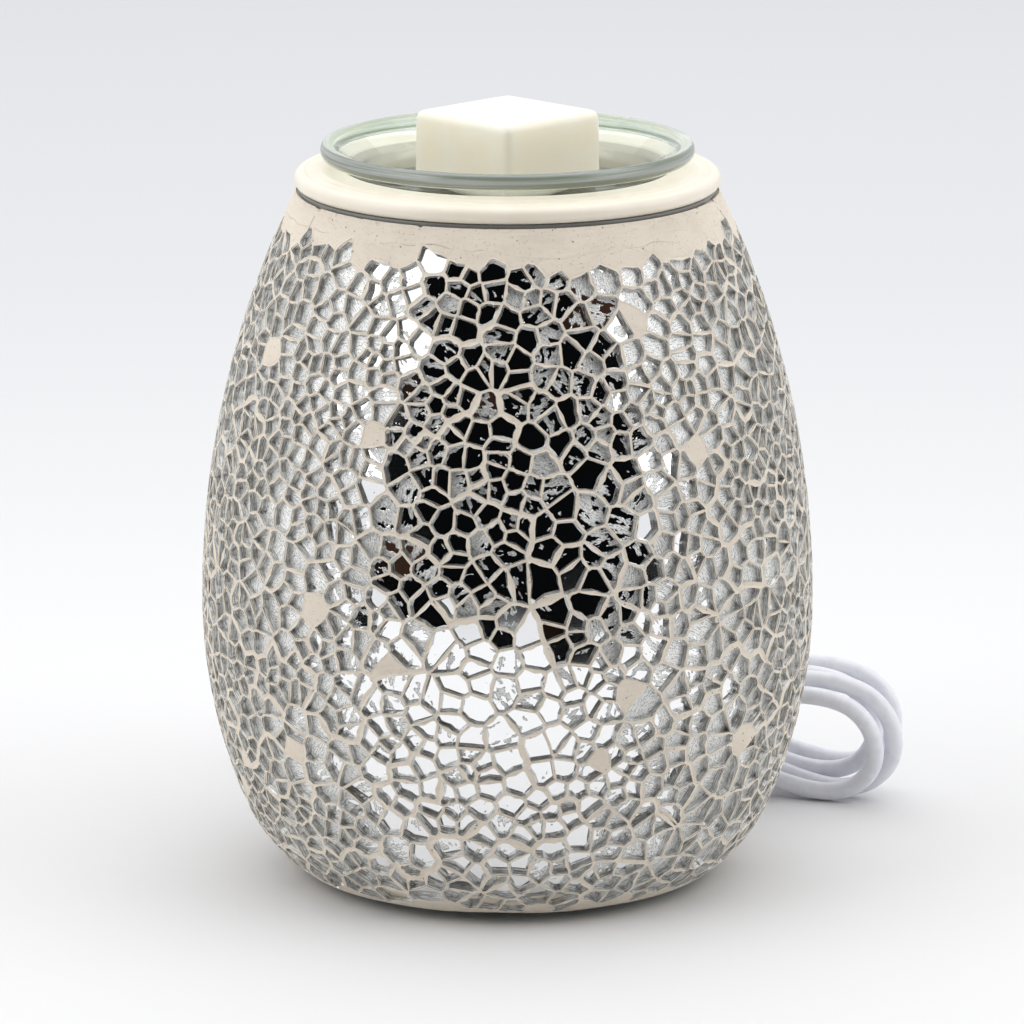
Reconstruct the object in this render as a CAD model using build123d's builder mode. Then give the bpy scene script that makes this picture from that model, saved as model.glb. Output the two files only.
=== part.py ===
from build123d import *
import os
from math import asin, cos, pi, radians, sin, sqrt, tan

# Wax melt warmer: a mirror mosaic glass body round a lamp, with a glass dish of wax on its collar.
# Millimetres, +Z up, origin on the table under the middle of the body, front towards -Y.

# Body outline, measured on the outside of the mosaic
belly_r = 71.0
belly_z = 64.3
neck_arc = 220.0
flank_arc = 120.0
heel_arc = 36.4
heel_z = 18.0
lip_z = 160.8

# Glass, grout and mirror
glass_t = 2.6
coat_t = 2.4
chip_t = 2.0
grout_shy = 0.25
glass_foot_z = 1.2
foot_ring_w = 3.4
punt_z = 9.0
floor_t = 4.0
lip_round = 1.0
coat_low_z = 3.6
coat_top_z = 160.3
mosaic_low_z = 6.0
mosaic_top_z = 153.5

# Collar and its bead
bead_t = 0.7
bead_w = 2.6
collar_over = 2.9
collar_roll = 2.0
collar_w = 11.6
bore_chamfer = 0.5
bore_drop = 1.5
sheet_t = 1.5
groove_in = 3.3
groove_w = 2.0
groove_depth = 0.45
step_in = 5.9
step_h = 0.6
skirt_h = 8.0
skirt_clear = 0.35

# Glass dish
dish_t = 2.6
dish_bottom_z = 156.0
bowl_clear = 2.1
bowl_corner = 6.0
flare_over = 2.3
rim_over = 5.55
rim_h = 3.7
rim_w = 2.9
seat_gap = 0.2
flare_foot_share = 0.6

# Wax cube
wax_side = 30.0
wax_h = 20.0
wax_draft = 2.0
wax_turn = 45.0
wax_round = 2.6
wax_corner = 1.6
wax_gap = 0.2

# Base cap, feet and gasket
feet_h = 2.0
foot_r = 4.5
foot_count = 4
foot_in = 6.2
foot_seat = 0.6
cap_clear = 1.2
cap_wall = 2.2
cap_web = 2.0
hub_r = 12.5
rib_t = 1.6
rib_drop = 1.2
rib_count = 6
gasket_t = 0.8
gasket_w = 12.0

# Threaded hollow stem and what clamps it
stem_r = 5.0
stem_bore_r = 3.6
stem_low_z = 3.0
stem_top_z = 57.0
stem_clear = 0.25
nut_flats = 14.0
nut_h = 3.0
soft_washer_r = 14.0
soft_washer_t = 1.4
washer_r = 12.0
washer_t = 1.2

# Lamp holder and its bracket
strap_z = 52.0
strap_t = 1.5
strap_w = 14.0
strap_half = 11.0
wing_reach = 20.5
holder_r = 14.0
holder_h = 18.0
holder_z = 61.5
holder_round = 1.2
holder_step = 1.0
lug_t = 4.0
lug_w = 11.0
screw_in = 3.3
screw_r = 1.5
screw_head_r = 2.8
screw_head_h = 1.8
screw_clear = 0.2
screw_nut_flats = 5.5
screw_nut_h = 2.2
slot_depth = 9.5
lip_over_slot = 2.2
contact_t = 0.6

# Lamp
pin_circle_r = 5.0
shank_r = 1.5
shank_clear = 0.35
entry_clear = 0.1
pin_head_r = 2.4
pin_head_h = 2.2
pin_len = 7.2
pin_head_clear = 0.35
twist_deg = 30.0
lamp_gap = 0.15
lamp_base_r = 9.5
lamp_base_h = 16.0
reflector_r = 25.0
reflector_h = 31.0
reflector_t = 1.6
reflector_lip = 3.0
cone_mid_r_share = 0.6
cone_mid_z_share = 0.42
lens_t = 2.0
lens_inset = 0.8
capsule_r = 5.0
capsule_h = 16.0
capsule_pinch_w = 6.5
capsule_pinch_h = 6.0

# Cord, wires and the bushing in the glass
cord_d = 4.35
bend_share = 0.45
cord_z = 20.0
cord_turn = 122.0
bushing_neck_r = 4.5
bushing_flange_r = 6.6
bushing_flange_t = 2.0
bushing_tail = 20.0
bushing_tail_r = 4.2
bushing_tip_r = 3.0
bushing_clear = 0.2
jacket_end_r = 26.0
jacket_end_z = 24.0
jacket_mid_r = 40.0
wire_r = 1.1
core_r = 1.0
wire_step = 4.2
wire_apart = 3.2
joint_r = 2.4
joint_len = 13.0
joint_low_z = 34.0
joint_reach = 15.0
wire_top_reach = 9.5

# Hank of spare cord behind the body, tied at its waist
hank_x = 33.0
hank_y = 63.8
hank_rest = 0.1
hank_yaw = 18.0
hank_lean = 15.0
hank_loops = 4
hank_layer = 5.1
hank_fold_r = 13.25
hank_swell = 1.5
hank_reach = 54.2
hank_stagger = 4.8
hank_grow = 1.4
hank_left = 26.0
hank_waist = 5.5
hank_lead_run = 14.8
hank_tail_run = 23.9
tie_w = 4.0
tie_t = 0.9
tie_clear = 0.5
tie_tail = 14.0
tie_tail_w = 2.2

# Inline switch
switch_len = 44.0
switch_w = 20.0
switch_h = 15.0
switch_rest = 0.2
switch_split_share = 0.5
switch_end_share = 0.55
switch_round = 2.5
switch_wall = 1.8
switch_neck_r = 4.0
switch_neck_len = 3.0
rocker_len = 15.0
rocker_w = 8.0
rocker_h = 5.0
rocker_rise = 1.6
rocker_dip = 1.0
rocker_clear = 0.5
rocker_axle_r = 1.0
rocker_axle_clear = 0.05
switch_screw_r = 1.4
switch_screw_head_r = 2.5
switch_screw_x = 15.5
switch_screw_recess = 1.0
switch_x = -23.0
switch_y = 126.0
rocker_tilt = 8.0

# Two-pin mains plug
plug_w = 35.3
plug_t = 13.7
plug_face_len = 9.0
plug_grip_len = 16.0
plug_grip_w = 17.0
plug_tail = 20.0
plug_tail_r = 4.6
plug_tip_r = 3.1
plug_corner = 5.0
plug_rest = 0.2
plug_pin_r = 2.0
plug_pin_len = 19.0
plug_pin_apart = 18.6
plug_pin_root = 5.0
plug_grip_share = 0.9
plug_pin_round_share = 0.6
plug_x = 27.0
plug_y = 174.4

# Shared
overrun = 1.0
up = Vector(0, 0, 1)
os.makedirs("parts", exist_ok=True)
heel_turn = asin((belly_z - heel_z) / flank_arc)
heel_c = (
    belly_r - flank_arc + (flank_arc - heel_arc) * cos(heel_turn),
    belly_z - (flank_arc - heel_arc) * sin(heel_turn),
)


def body_r(z, inset=0.0):
    """Radius of the body outline at height z, moved in by inset."""
    if z >= belly_z:
        return belly_r - neck_arc + sqrt((neck_arc - inset) ** 2 - (z - belly_z) ** 2)
    joint_z = belly_z - (flank_arc - inset) * sin(heel_turn)
    if z >= joint_z:
        return belly_r - flank_arc + sqrt((flank_arc - inset) ** 2 - (belly_z - z) ** 2)
    return heel_c[0] + sqrt((heel_arc - inset) ** 2 - (z - heel_c[1]) ** 2)


def body_wall(low_z, high_z, inset):
    """Arcs of the body outline from low_z up to high_z, added to the open line context."""
    joint_z = belly_z - (flank_arc - inset) * sin(heel_turn)
    stops = [low_z] + [z for z in (joint_z, belly_z) if low_z < z < high_z] + [high_z]
    for low, high in zip(stops, stops[1:]):
        mid = (low + high) / 2
        ThreePointArc((body_r(low, inset), low), (body_r(mid, inset), mid), (body_r(high, inset), high))


def ring(inner_r, outer_r, low_z, high_z):
    """A plain ring about Z, made inside the open part context."""
    with BuildSketch(Plane.XY.offset(low_z)) as section:
        Circle(outer_r)
        Circle(inner_r, mode=Mode.SUBTRACT)
    extrude(section.sketch, amount=high_z - low_z)


def finish(builder, label):
    """Label a finished piece and write its file."""
    builder.part.label = label
    export_step(builder.part, "parts/" + label + ".step")
    return builder.part


# Places that several pieces share
punt_r = body_r(glass_foot_z, coat_t) - foot_ring_w
floor_top_z = punt_z + floor_t
wall_in = coat_t + glass_t
neck_in_r = body_r(lip_z, wall_in)
neck_out_r = body_r(lip_z, coat_t)
collar_r = neck_out_r + collar_over
groove_r = collar_r - groove_in
step_r = collar_r - step_in
bore_r = collar_r - collar_w
bowl_r = bore_r - bowl_clear
flare_end_r = bore_r + flare_over
rim_r = bore_r + rim_over
collar_z = lip_z + bead_t
collar_top_z = collar_z + 2 * collar_roll
seat_z = collar_top_z + step_h
stem_hole_r = stem_r + stem_clear
lug_reach = wing_reach
screw_x = wing_reach - screw_in
cord_out = Vector(cos(radians(cord_turn)), sin(radians(cord_turn)), 0)
cord_axis = Plane(origin=(0, 0, cord_z), x_dir=cord_out.cross(up), z_dir=cord_out)
cord_wall_r = body_r(cord_z)
cord_hole_r = bushing_neck_r + bushing_clear

# Wall of the blown glass body, open at the neck
with BuildPart() as glass_vessel:
    with BuildSketch(Plane.XZ) as glass_section:
        with BuildLine():
            body_wall(floor_top_z, lip_z, coat_t)
            Line((neck_out_r, lip_z), (neck_in_r, lip_z))
            body_wall(floor_top_z, lip_z, wall_in)
            Line((body_r(floor_top_z, wall_in), floor_top_z), (body_r(floor_top_z, coat_t), floor_top_z))
        make_face()
        fillet(glass_section.vertices().group_by(Axis.Y)[-1], lip_round)
    revolve(axis=Axis.Z)
    with BuildSketch(cord_axis):
        Circle(cord_hole_r)
    extrude(amount=belly_r + overrun, mode=Mode.SUBTRACT)
finish(glass_vessel, "glass_vessel")

# Flat floor of the glass body, over its hollow foot
with BuildPart() as glass_floor:
    with BuildSketch(Plane.XZ):
        with BuildLine():
            body_wall(glass_foot_z, floor_top_z, coat_t)
            Polyline(
                (body_r(floor_top_z, coat_t), floor_top_z),
                (stem_hole_r, floor_top_z),
                (stem_hole_r, punt_z),
                (punt_r, punt_z),
                (punt_r, glass_foot_z),
                (body_r(glass_foot_z, coat_t), glass_foot_z),
            )
        make_face()
    revolve(axis=Axis.Z)
finish(glass_floor, "glass_floor")

# Grout: a bare band under the collar, a thin bed behind the mirror and a hem at the foot
with BuildPart() as grout_coat:
    with BuildSketch(Plane.XZ):
        with BuildLine():
            body_wall(coat_low_z, coat_top_z, coat_t)
            Line((body_r(coat_top_z, coat_t), coat_top_z), (body_r(coat_top_z, grout_shy), coat_top_z))
            body_wall(mosaic_top_z, coat_top_z, grout_shy)
            Line((body_r(mosaic_top_z, grout_shy), mosaic_top_z), (body_r(mosaic_top_z, chip_t), mosaic_top_z))
            body_wall(mosaic_low_z, mosaic_top_z, chip_t)
            Line((body_r(mosaic_low_z, chip_t), mosaic_low_z), (body_r(mosaic_low_z, grout_shy), mosaic_low_z))
            body_wall(coat_low_z, mosaic_low_z, grout_shy)
            Line((body_r(coat_low_z, grout_shy), coat_low_z), (body_r(coat_low_z, coat_t), coat_low_z))
        make_face()
    revolve(axis=Axis.Z)
    with BuildSketch(cord_axis):
        Circle(cord_hole_r)
    extrude(amount=belly_r + overrun, mode=Mode.SUBTRACT)
finish(grout_coat, "grout_coat")

# Mirror chips, as the one skin that they make up
with BuildPart() as mirror_mosaic:
    with BuildSketch(Plane.XZ):
        with BuildLine():
            body_wall(mosaic_low_z, mosaic_top_z, chip_t)
            Line((body_r(mosaic_top_z, chip_t), mosaic_top_z), (body_r(mosaic_top_z), mosaic_top_z))
            body_wall(mosaic_low_z, mosaic_top_z, 0.0)
            Line((body_r(mosaic_low_z), mosaic_low_z), (body_r(mosaic_low_z, chip_t), mosaic_low_z))
        make_face()
    revolve(axis=Axis.Z)
    with BuildSketch(cord_axis):
        Circle(cord_hole_r)
    extrude(amount=belly_r + overrun, mode=Mode.SUBTRACT)
finish(mirror_mosaic, "mirror_mosaic")

# Silicone bead between the glass lip and the collar
bead_mid_r = (neck_in_r + neck_out_r) / 2
with BuildPart() as collar_bead:
    ring(bead_mid_r - bead_w / 2, bead_mid_r + bead_w / 2, lip_z, collar_z)
finish(collar_bead, "collar_bead")

# Pressed collar with a rolled edge, a groove, a raised inner ring and a skirt inside the neck
skirt_out_r = neck_in_r - skirt_clear
skirt_in_r = skirt_out_r - sheet_t
collar_roof_z = collar_top_z - sheet_t
with BuildPart() as collar:
    with BuildSketch(Plane.XZ) as collar_section:
        with BuildLine():
            roll_r = collar_r - collar_roll
            ThreePointArc(
                (roll_r, collar_z),
                (collar_r, collar_z + collar_roll),
                (roll_r, collar_top_z),
            )
            Line((roll_r, collar_top_z), (groove_r + groove_w / 2, collar_top_z))
            ThreePointArc(
                (groove_r + groove_w / 2, collar_top_z),
                (groove_r, collar_top_z - groove_depth),
                (groove_r - groove_w / 2, collar_top_z),
            )
            Polyline(
                (groove_r - groove_w / 2, collar_top_z),
                (step_r + step_h, collar_top_z),
                (step_r, seat_z),
                (bore_r + bore_chamfer, seat_z),
                (bore_r, seat_z - bore_chamfer),
                (bore_r, collar_z - bore_drop),
                (bore_r + sheet_t, collar_z - bore_drop),
                (bore_r + sheet_t, collar_roof_z),
                (skirt_in_r, collar_roof_z),
                (skirt_in_r, collar_z - skirt_h),
                (skirt_out_r, collar_z - skirt_h),
                (skirt_out_r, collar_z),
                (roll_r, collar_z),
            )
        make_face()
    revolve(axis=Axis.Z)
finish(collar, "collar")

# Glass dish: a shallow bowl with a flared wall and a thick rim, sitting in the collar's chamfer
# Its flare runs at 45 degrees, a seat gap away from the chamfer
flare_r = bore_r + bore_chamfer / 2 - seat_gap / sqrt(2)
flare_z = seat_z - bore_chamfer / 2 + seat_gap / sqrt(2)
flare_low_z = flare_z - (flare_r - bowl_r)
flare_top_z = flare_z + (flare_end_r - flare_r)
dish_floor_z = dish_bottom_z + dish_t
rim_z = flare_top_z + rim_h
inner_flare = dish_t * (sqrt(2) - 1)
with BuildPart() as glass_dish:
    with BuildSketch(Plane.XZ):
        with BuildLine():
            FilletPolyline(
                (0, dish_bottom_z),
                (bowl_r, dish_bottom_z),
                (bowl_r, flare_low_z),
                (flare_end_r, flare_top_z),
                (rim_r - rim_h / 4, flare_top_z),
                radius=[bowl_corner, dish_t, dish_t / 3],
            )
            ThreePointArc(
                (rim_r - rim_h / 4, flare_top_z),
                (rim_r, flare_top_z + rim_h / 2),
                (rim_r - rim_h / 4, rim_z),
            )
            FilletPolyline(
                (rim_r - rim_h / 4, rim_z),
                (rim_r - rim_w, rim_z - rim_h / 6),
                (flare_end_r - inner_flare, flare_top_z + dish_t * flare_foot_share),
                (bowl_r - dish_t, flare_low_z + inner_flare),
                (bowl_r - dish_t, dish_floor_z),
                (0, dish_floor_z),
                radius=[dish_t / 4, dish_t / 2, dish_t, bowl_corner - dish_t],
            )
            Line((0, dish_floor_z), (0, dish_bottom_z))
        make_face()
    revolve(axis=Axis.Z)
finish(glass_dish, "glass_dish")

# Cube of wax with a little draft and soft top edges, standing cornerwise in the dish
wax_low_z = dish_floor_z + wax_gap
with BuildPart() as wax_cube:
    with BuildSketch(Plane.XY.offset(wax_low_z)):
        Rectangle(wax_side, wax_side, rotation=wax_turn)
    extrude(amount=wax_h, taper=wax_draft)
    fillet(wax_cube.edges().filter_by(lambda e: abs(e.tangent_at(0).Z) > 0.5), wax_corner)
    fillet(wax_cube.edges().group_by(Axis.Z)[-1], wax_round)
finish(wax_cube, "wax_cube")

# Moulded cap that closes the hollow foot: a rim, a hub round the nut and ribs between them
cap_r = punt_r - cap_clear
foot_circle_r = cap_r - foot_in
cap_top_z = punt_z - gasket_t
web_low_z = cap_top_z - cap_web
foot_top_z = feet_h + foot_seat
with BuildPart() as base_cap:
    with BuildSketch(Plane.XZ):
        with BuildLine():
            Polyline(
                (hub_r - cap_wall, feet_h),
                (cap_r, feet_h),
                (cap_r, cap_top_z),
                (cap_r - cap_wall, cap_top_z),
                (cap_r - cap_wall, feet_h + cap_wall),
                (hub_r, feet_h + cap_wall),
                (hub_r, cap_top_z),
                (stem_hole_r, cap_top_z),
                (stem_hole_r, web_low_z),
                (hub_r - cap_wall, web_low_z),
                close=True,
            )
        make_face()
    revolve(axis=Axis.Z)
    with BuildSketch(Plane.XY.offset(feet_h + cap_wall)):
        with PolarLocations((hub_r + cap_r - cap_wall) / 2, rib_count):
            Rectangle(cap_r - cap_wall - hub_r + overrun, rib_t)
    extrude(amount=cap_top_z - rib_drop - feet_h - cap_wall)
    with BuildSketch(Plane.XY.offset(feet_h)):
        with PolarLocations(foot_circle_r, foot_count, start_angle=180 / foot_count):
            Circle(foot_r)
    extrude(amount=foot_seat, mode=Mode.SUBTRACT)
finish(base_cap, "base_cap")

# Four rubber feet in seats under the cap
with BuildPart() as base_feet:
    with BuildSketch(Plane.XY):
        with PolarLocations(foot_circle_r, foot_count, start_angle=180 / foot_count):
            Circle(foot_r)
    extrude(amount=foot_top_z)
    chamfer(base_feet.edges().group_by(Axis.Z)[0], foot_seat)
finish(base_feet, "base_feet")

# Foam gasket round the stem, between the cap's hub and the glass floor
with BuildPart() as base_gasket:
    ring(stem_hole_r, stem_hole_r + gasket_w, cap_top_z, punt_z)
finish(base_gasket, "base_gasket")

# Hollow stem through the glass floor
with BuildPart() as stem:
    ring(stem_bore_r, stem_r, stem_low_z, stem_top_z)
finish(stem, "stem")

# Washers on the glass floor
soft_top_z = floor_top_z + soft_washer_t
washer_top_z = soft_top_z + washer_t
with BuildPart() as soft_washer:
    ring(stem_hole_r, soft_washer_r, floor_top_z, soft_top_z)
finish(soft_washer, "soft_washer")

with BuildPart() as steel_washer:
    ring(stem_hole_r, washer_r, soft_top_z, washer_top_z)
finish(steel_washer, "steel_washer")

# Four stem nuts: one in the hub, one on the washers and two that clamp the bracket
nut_low_zs = (web_low_z - nut_h, washer_top_z, strap_z - nut_h, strap_z + strap_t)
with BuildPart() as stem_nuts:
    for low_z in nut_low_zs:
        with BuildSketch(Plane.XY.offset(low_z)):
            RegularPolygon(nut_flats / 2, 6, major_radius=False)
            Circle(stem_r, mode=Mode.SUBTRACT)
        extrude(amount=nut_h)
finish(stem_nuts, "stem_nuts")

# Steel strap bent up into two wings under the holder's lugs
wing_z = holder_z + holder_step
with BuildPart() as holder_bracket:
    with BuildSketch(Plane.XZ.offset(-strap_w / 2)):
        with BuildLine():
            Polyline(
                (-wing_reach, wing_z),
                (-strap_half, wing_z),
                (-strap_half, strap_z + strap_t),
                (strap_half, strap_z + strap_t),
                (strap_half, wing_z),
                (wing_reach, wing_z),
                (wing_reach, wing_z - strap_t),
                (strap_half + strap_t, wing_z - strap_t),
                (strap_half + strap_t, strap_z),
                (-strap_half - strap_t, strap_z),
                (-strap_half - strap_t, wing_z - strap_t),
                (-wing_reach, wing_z - strap_t),
                close=True,
            )
        make_face()
    extrude(amount=strap_w)
    with BuildSketch(Plane.XY.offset(strap_z)):
        Circle(stem_hole_r)
    extrude(amount=strap_t, mode=Mode.SUBTRACT)
    with BuildSketch(Plane.XY.offset(wing_z - strap_t)):
        with Locations((screw_x, 0), (-screw_x, 0)):
            Circle(screw_r + screw_clear)
    extrude(amount=strap_t, mode=Mode.SUBTRACT)
finish(holder_bracket, "holder_bracket")

# Ceramic twist-lock holder: each slot is wide at its entry and narrow under a lip where it locks
holder_top_z = holder_z + holder_h
lug_top_z = wing_z + lug_t
slot_top_z = holder_top_z - lip_over_slot
entry_r = pin_head_r + pin_head_clear


def twist_slots(width, depth_from, depth_to):
    """Cut the two curved slots of the holder, as wide as given, between two depths."""
    with BuildSketch(Plane.XY.offset(holder_top_z - depth_to)) as slots:
        for side in (0, 180):
            lock = Vector(pin_circle_r, 0).rotate(Axis.Z, side)
            middle = Vector(pin_circle_r, 0).rotate(Axis.Z, side - twist_deg / 2)
            entry = Vector(pin_circle_r, 0).rotate(Axis.Z, side - twist_deg)
            SlotArc(Edge.make_three_point_arc(lock, middle, entry), width)
    extrude(slots.sketch, amount=depth_to - depth_from, mode=Mode.SUBTRACT)


with BuildPart() as lamp_holder:
    with BuildSketch(Plane.XY.offset(holder_z)):
        Circle(strap_half - shank_clear)
    extrude(amount=wing_z - holder_z)
    with BuildSketch(Plane.XY.offset(wing_z)):
        Circle(holder_r)
        SlotOverall(2 * lug_reach, lug_w)
    extrude(amount=lug_t)
    with BuildSketch(Plane.XY.offset(lug_top_z)):
        Circle(holder_r)
    extrude(amount=holder_top_z - lug_top_z)
    fillet(lamp_holder.edges().group_by(Axis.Z)[-1], holder_round)
    twist_slots(2 * (shank_r + shank_clear), 0, slot_depth)
    twist_slots(2 * entry_r, lip_over_slot, slot_depth)
    with BuildSketch(Plane.XY.offset(holder_top_z - slot_depth)):
        for side in (0, 180):
            with Locations(Vector(pin_circle_r, 0).rotate(Axis.Z, side - twist_deg)):
                Circle(entry_r + entry_clear)
    extrude(amount=slot_depth, mode=Mode.SUBTRACT)
    with BuildSketch(Plane.XY.offset(wing_z)):
        with Locations((screw_x, 0), (-screw_x, 0)):
            Circle(screw_r + screw_clear)
    extrude(amount=lug_t, mode=Mode.SUBTRACT)
finish(lamp_holder, "lamp_holder")

# Spring contacts at the bottom of the two slots
with BuildPart() as holder_contacts:
    with BuildSketch(Plane.XY.offset(holder_top_z - slot_depth)):
        with PolarLocations(pin_circle_r, 2):
            Rectangle(2 * shank_r, 2 * shank_r)
    extrude(amount=contact_t)
finish(holder_contacts, "holder_contacts")

# Two screws with nuts that hold the lugs to the wings
with BuildPart() as holder_screws:
    for side in (1, -1):
        with BuildSketch(Plane.XY.offset(wing_z - strap_t - screw_nut_h)):
            with Locations((side * screw_x, 0)):
                Circle(screw_r)
        extrude(amount=lug_top_z - wing_z + strap_t + screw_nut_h)
        with BuildSketch(Plane.XY.offset(lug_top_z)):
            with Locations((side * screw_x, 0)):
                Circle(screw_head_r)
        extrude(amount=screw_head_h)
        with BuildSketch(Plane.XY.offset(wing_z - strap_t - screw_nut_h)):
            with Locations((side * screw_x, 0)):
                RegularPolygon(screw_nut_flats / 2, 6, major_radius=False)
        extrude(amount=screw_nut_h)
finish(holder_screws, "holder_screws")

# Lamp: ceramic base with two headed pins, a dished reflector, its lens and the capsule inside
lamp_z = holder_top_z + lamp_gap
reflector_z = lamp_z + lamp_base_h
reflector_top_z = reflector_z + reflector_h
with BuildPart() as lamp_base:
    with BuildSketch(Plane.XY.offset(lamp_z)):
        Circle(lamp_base_r)
    extrude(amount=lamp_base_h)
    chamfer(lamp_base.edges().group_by(Axis.Z)[0], holder_round)
finish(lamp_base, "lamp_base")

with BuildPart() as lamp_pins:
    for side in (1, -1):
        with BuildSketch(Plane.XY.offset(lamp_z - pin_len)):
            with Locations((side * pin_circle_r, 0)):
                Circle(pin_head_r)
        extrude(amount=pin_head_h)
        with BuildSketch(Plane.XY.offset(lamp_z - pin_len + pin_head_h)):
            with Locations((side * pin_circle_r, 0)):
                Circle(shank_r)
        extrude(amount=pin_len - pin_head_h)
finish(lamp_pins, "lamp_pins")

cone_top_z = reflector_top_z - reflector_lip
cone_mid_r = lamp_base_r + (reflector_r - lamp_base_r) * cone_mid_r_share
cone_mid_z = reflector_z + (cone_top_z - reflector_z) * cone_mid_z_share
with BuildPart() as lamp_reflector:
    with BuildSketch(Plane.XZ):
        with BuildLine():
            Line((0, reflector_z), (lamp_base_r, reflector_z))
            ThreePointArc((lamp_base_r, reflector_z), (cone_mid_r, cone_mid_z), (reflector_r, cone_top_z))
            Polyline(
                (reflector_r, cone_top_z),
                (reflector_r, reflector_top_z),
                (reflector_r - reflector_t, reflector_top_z),
                (reflector_r - reflector_t, cone_top_z),
            )
            ThreePointArc(
                (reflector_r - reflector_t, cone_top_z),
                (cone_mid_r - reflector_t, cone_mid_z + reflector_t),
                (capsule_r, reflector_z + reflector_t),
            )
            Polyline((capsule_r, reflector_z + reflector_t), (0, reflector_z + reflector_t), (0, reflector_z))
        make_face()
    revolve(axis=Axis.Z)
finish(lamp_reflector, "lamp_reflector")

with BuildPart() as lamp_lens:
    with BuildSketch(Plane.XY.offset(reflector_top_z - lens_inset - lens_t)):
        Circle(reflector_r - reflector_t)
    extrude(amount=lens_t)
finish(lamp_lens, "lamp_lens")

capsule_z = reflector_z + reflector_t
with BuildPart() as lamp_capsule:
    with BuildSketch(Plane.XY.offset(capsule_z)):
        Rectangle(capsule_pinch_w, capsule_r / 2)
    extrude(amount=capsule_pinch_h)
    with BuildSketch(Plane.XY.offset(capsule_z + capsule_pinch_h)):
        Circle(capsule_r)
    extrude(amount=capsule_h - capsule_pinch_h)
    fillet(lamp_capsule.edges().group_by(Axis.Z)[-1], capsule_r / 2)
finish(lamp_capsule, "lamp_capsule")

# Bushing in the glass, with a tapered and slotted tail that guards the cord
# Its two flanges follow the sloping wall, so each is a piece of a shell beside that wall
tail_end_r = cord_wall_r + bushing_tail
bushing_in_r = cord_wall_r - wall_in - bushing_flange_t
flange_low_z = cord_z - bushing_flange_r - overrun
flange_high_z = cord_z + bushing_flange_r + overrun
inner_flange_inset = wall_in + bushing_clear
outer_flange_inset = -bushing_clear
with BuildPart() as cord_bushing:
    for inset in (inner_flange_inset + bushing_flange_t, outer_flange_inset):
        with BuildSketch(Plane.XZ):
            with BuildLine():
                near, far = inset, inset - bushing_flange_t
                body_wall(flange_low_z, flange_high_z, near)
                Line((body_r(flange_high_z, near), flange_high_z), (body_r(flange_high_z, far), flange_high_z))
                body_wall(flange_low_z, flange_high_z, far)
                Line((body_r(flange_low_z, near), flange_low_z), (body_r(flange_low_z, far), flange_low_z))
            make_face()
        revolve(axis=Axis.Z)
    with BuildSketch(cord_axis):
        Circle(bushing_flange_r)
    extrude(amount=tail_end_r, mode=Mode.INTERSECT)
    with BuildSketch(cord_axis.offset(bushing_in_r)):
        Circle(bushing_neck_r)
    extrude(amount=cord_wall_r - bushing_in_r)
    with BuildSketch(cord_axis.offset(cord_wall_r)):
        Circle(bushing_tail_r)
    with BuildSketch(cord_axis.offset(tail_end_r)):
        Circle(bushing_tip_r)
    loft()
    with BuildSketch(cord_axis):
        Circle(cord_d / 2)
    extrude(amount=tail_end_r + overrun, mode=Mode.SUBTRACT)
finish(cord_bushing, "cord_bushing")


def corner_radii(points):
    """Radius of each corner of a cord: a share of its shorter run over the tangent of half its turn."""
    radii = []
    for before, corner, after in zip(points, points[1:], points[2:]):
        back, ahead = Vector(corner) - Vector(before), Vector(after) - Vector(corner)
        turn = radians(back.get_angle(ahead))
        radii.append(bend_share * min(back.length, ahead.length) / tan(turn / 2))
    return radii


def cord_tube(points, radius, note):
    """A round cord along straight runs joined by tangent arcs, made in the open part context."""
    radii = corner_radii(points)
    print(note, "bend radii", [round(r, 1) for r in radii])
    with BuildLine() as path:
        FilletPolyline(*points, radius=radii)
    with BuildSketch(Plane(origin=points[0], z_dir=Vector(*points[1]) - Vector(*points[0]))) as section:
        Circle(radius)
    route = path.wire()
    tube = sweep(section.sketch, path=route)
    full = pi * radius ** 2 * route.length
    print(note, "length", round(route.length, 1), "volume ratio", round(tube.volume / full, 3))


def at_cord(reach, z, side=0.0):
    """A point on the cord's side of the body, at a reach from the axis and a height."""
    return cord_out * reach + cord_out.cross(up) * side + up * z


# Cord inside the body, from the end of the bushing's tail to where its jacket ends
jacket_route = [
    at_cord(tail_end_r, cord_z),
    at_cord(jacket_mid_r, cord_z),
    at_cord(jacket_end_r, jacket_end_z),
]
with BuildPart() as cord_inner:
    cord_tube(jacket_route, cord_d / 2, "cord inside")
finish(cord_inner, "cord_inner")

# Two cores from the jacket up to the crimped joints, and two sleeved wires on to the holder
joint_top_z = joint_low_z + joint_len
with BuildPart() as joint_caps:
    for side in (-wire_apart, wire_apart):
        with BuildSketch(Plane(origin=at_cord(joint_reach, joint_low_z, side))):
            Circle(joint_r)
        extrude(amount=joint_len)
finish(joint_caps, "joint_caps")

jacket_heading = (jacket_route[-1] - jacket_route[-2]).normalized()
with BuildPart() as core_wires:
    for side in (-1, 1):
        core_start = at_cord(jacket_end_r, jacket_end_z, side * core_r)
        cord_tube(
            [
                core_start,
                core_start + jacket_heading * wire_step,
                at_cord(joint_reach, joint_low_z - wire_step, side * wire_apart),
                at_cord(joint_reach, joint_low_z, side * wire_apart),
            ],
            core_r,
            "core",
        )
finish(core_wires, "core_wires")

with BuildPart() as holder_wires:
    for side in (-1, 1):
        cord_tube(
            [
                at_cord(joint_reach, joint_top_z, side * wire_apart),
                at_cord(joint_reach, joint_top_z + wire_step, side * wire_apart),
                at_cord(wire_top_reach, holder_z - wire_step, side * wire_apart),
                at_cord(wire_top_reach, holder_z, side * wire_apart),
            ],
            wire_r,
            "holder wire",
        )
finish(holder_wires, "holder_wires")

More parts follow.
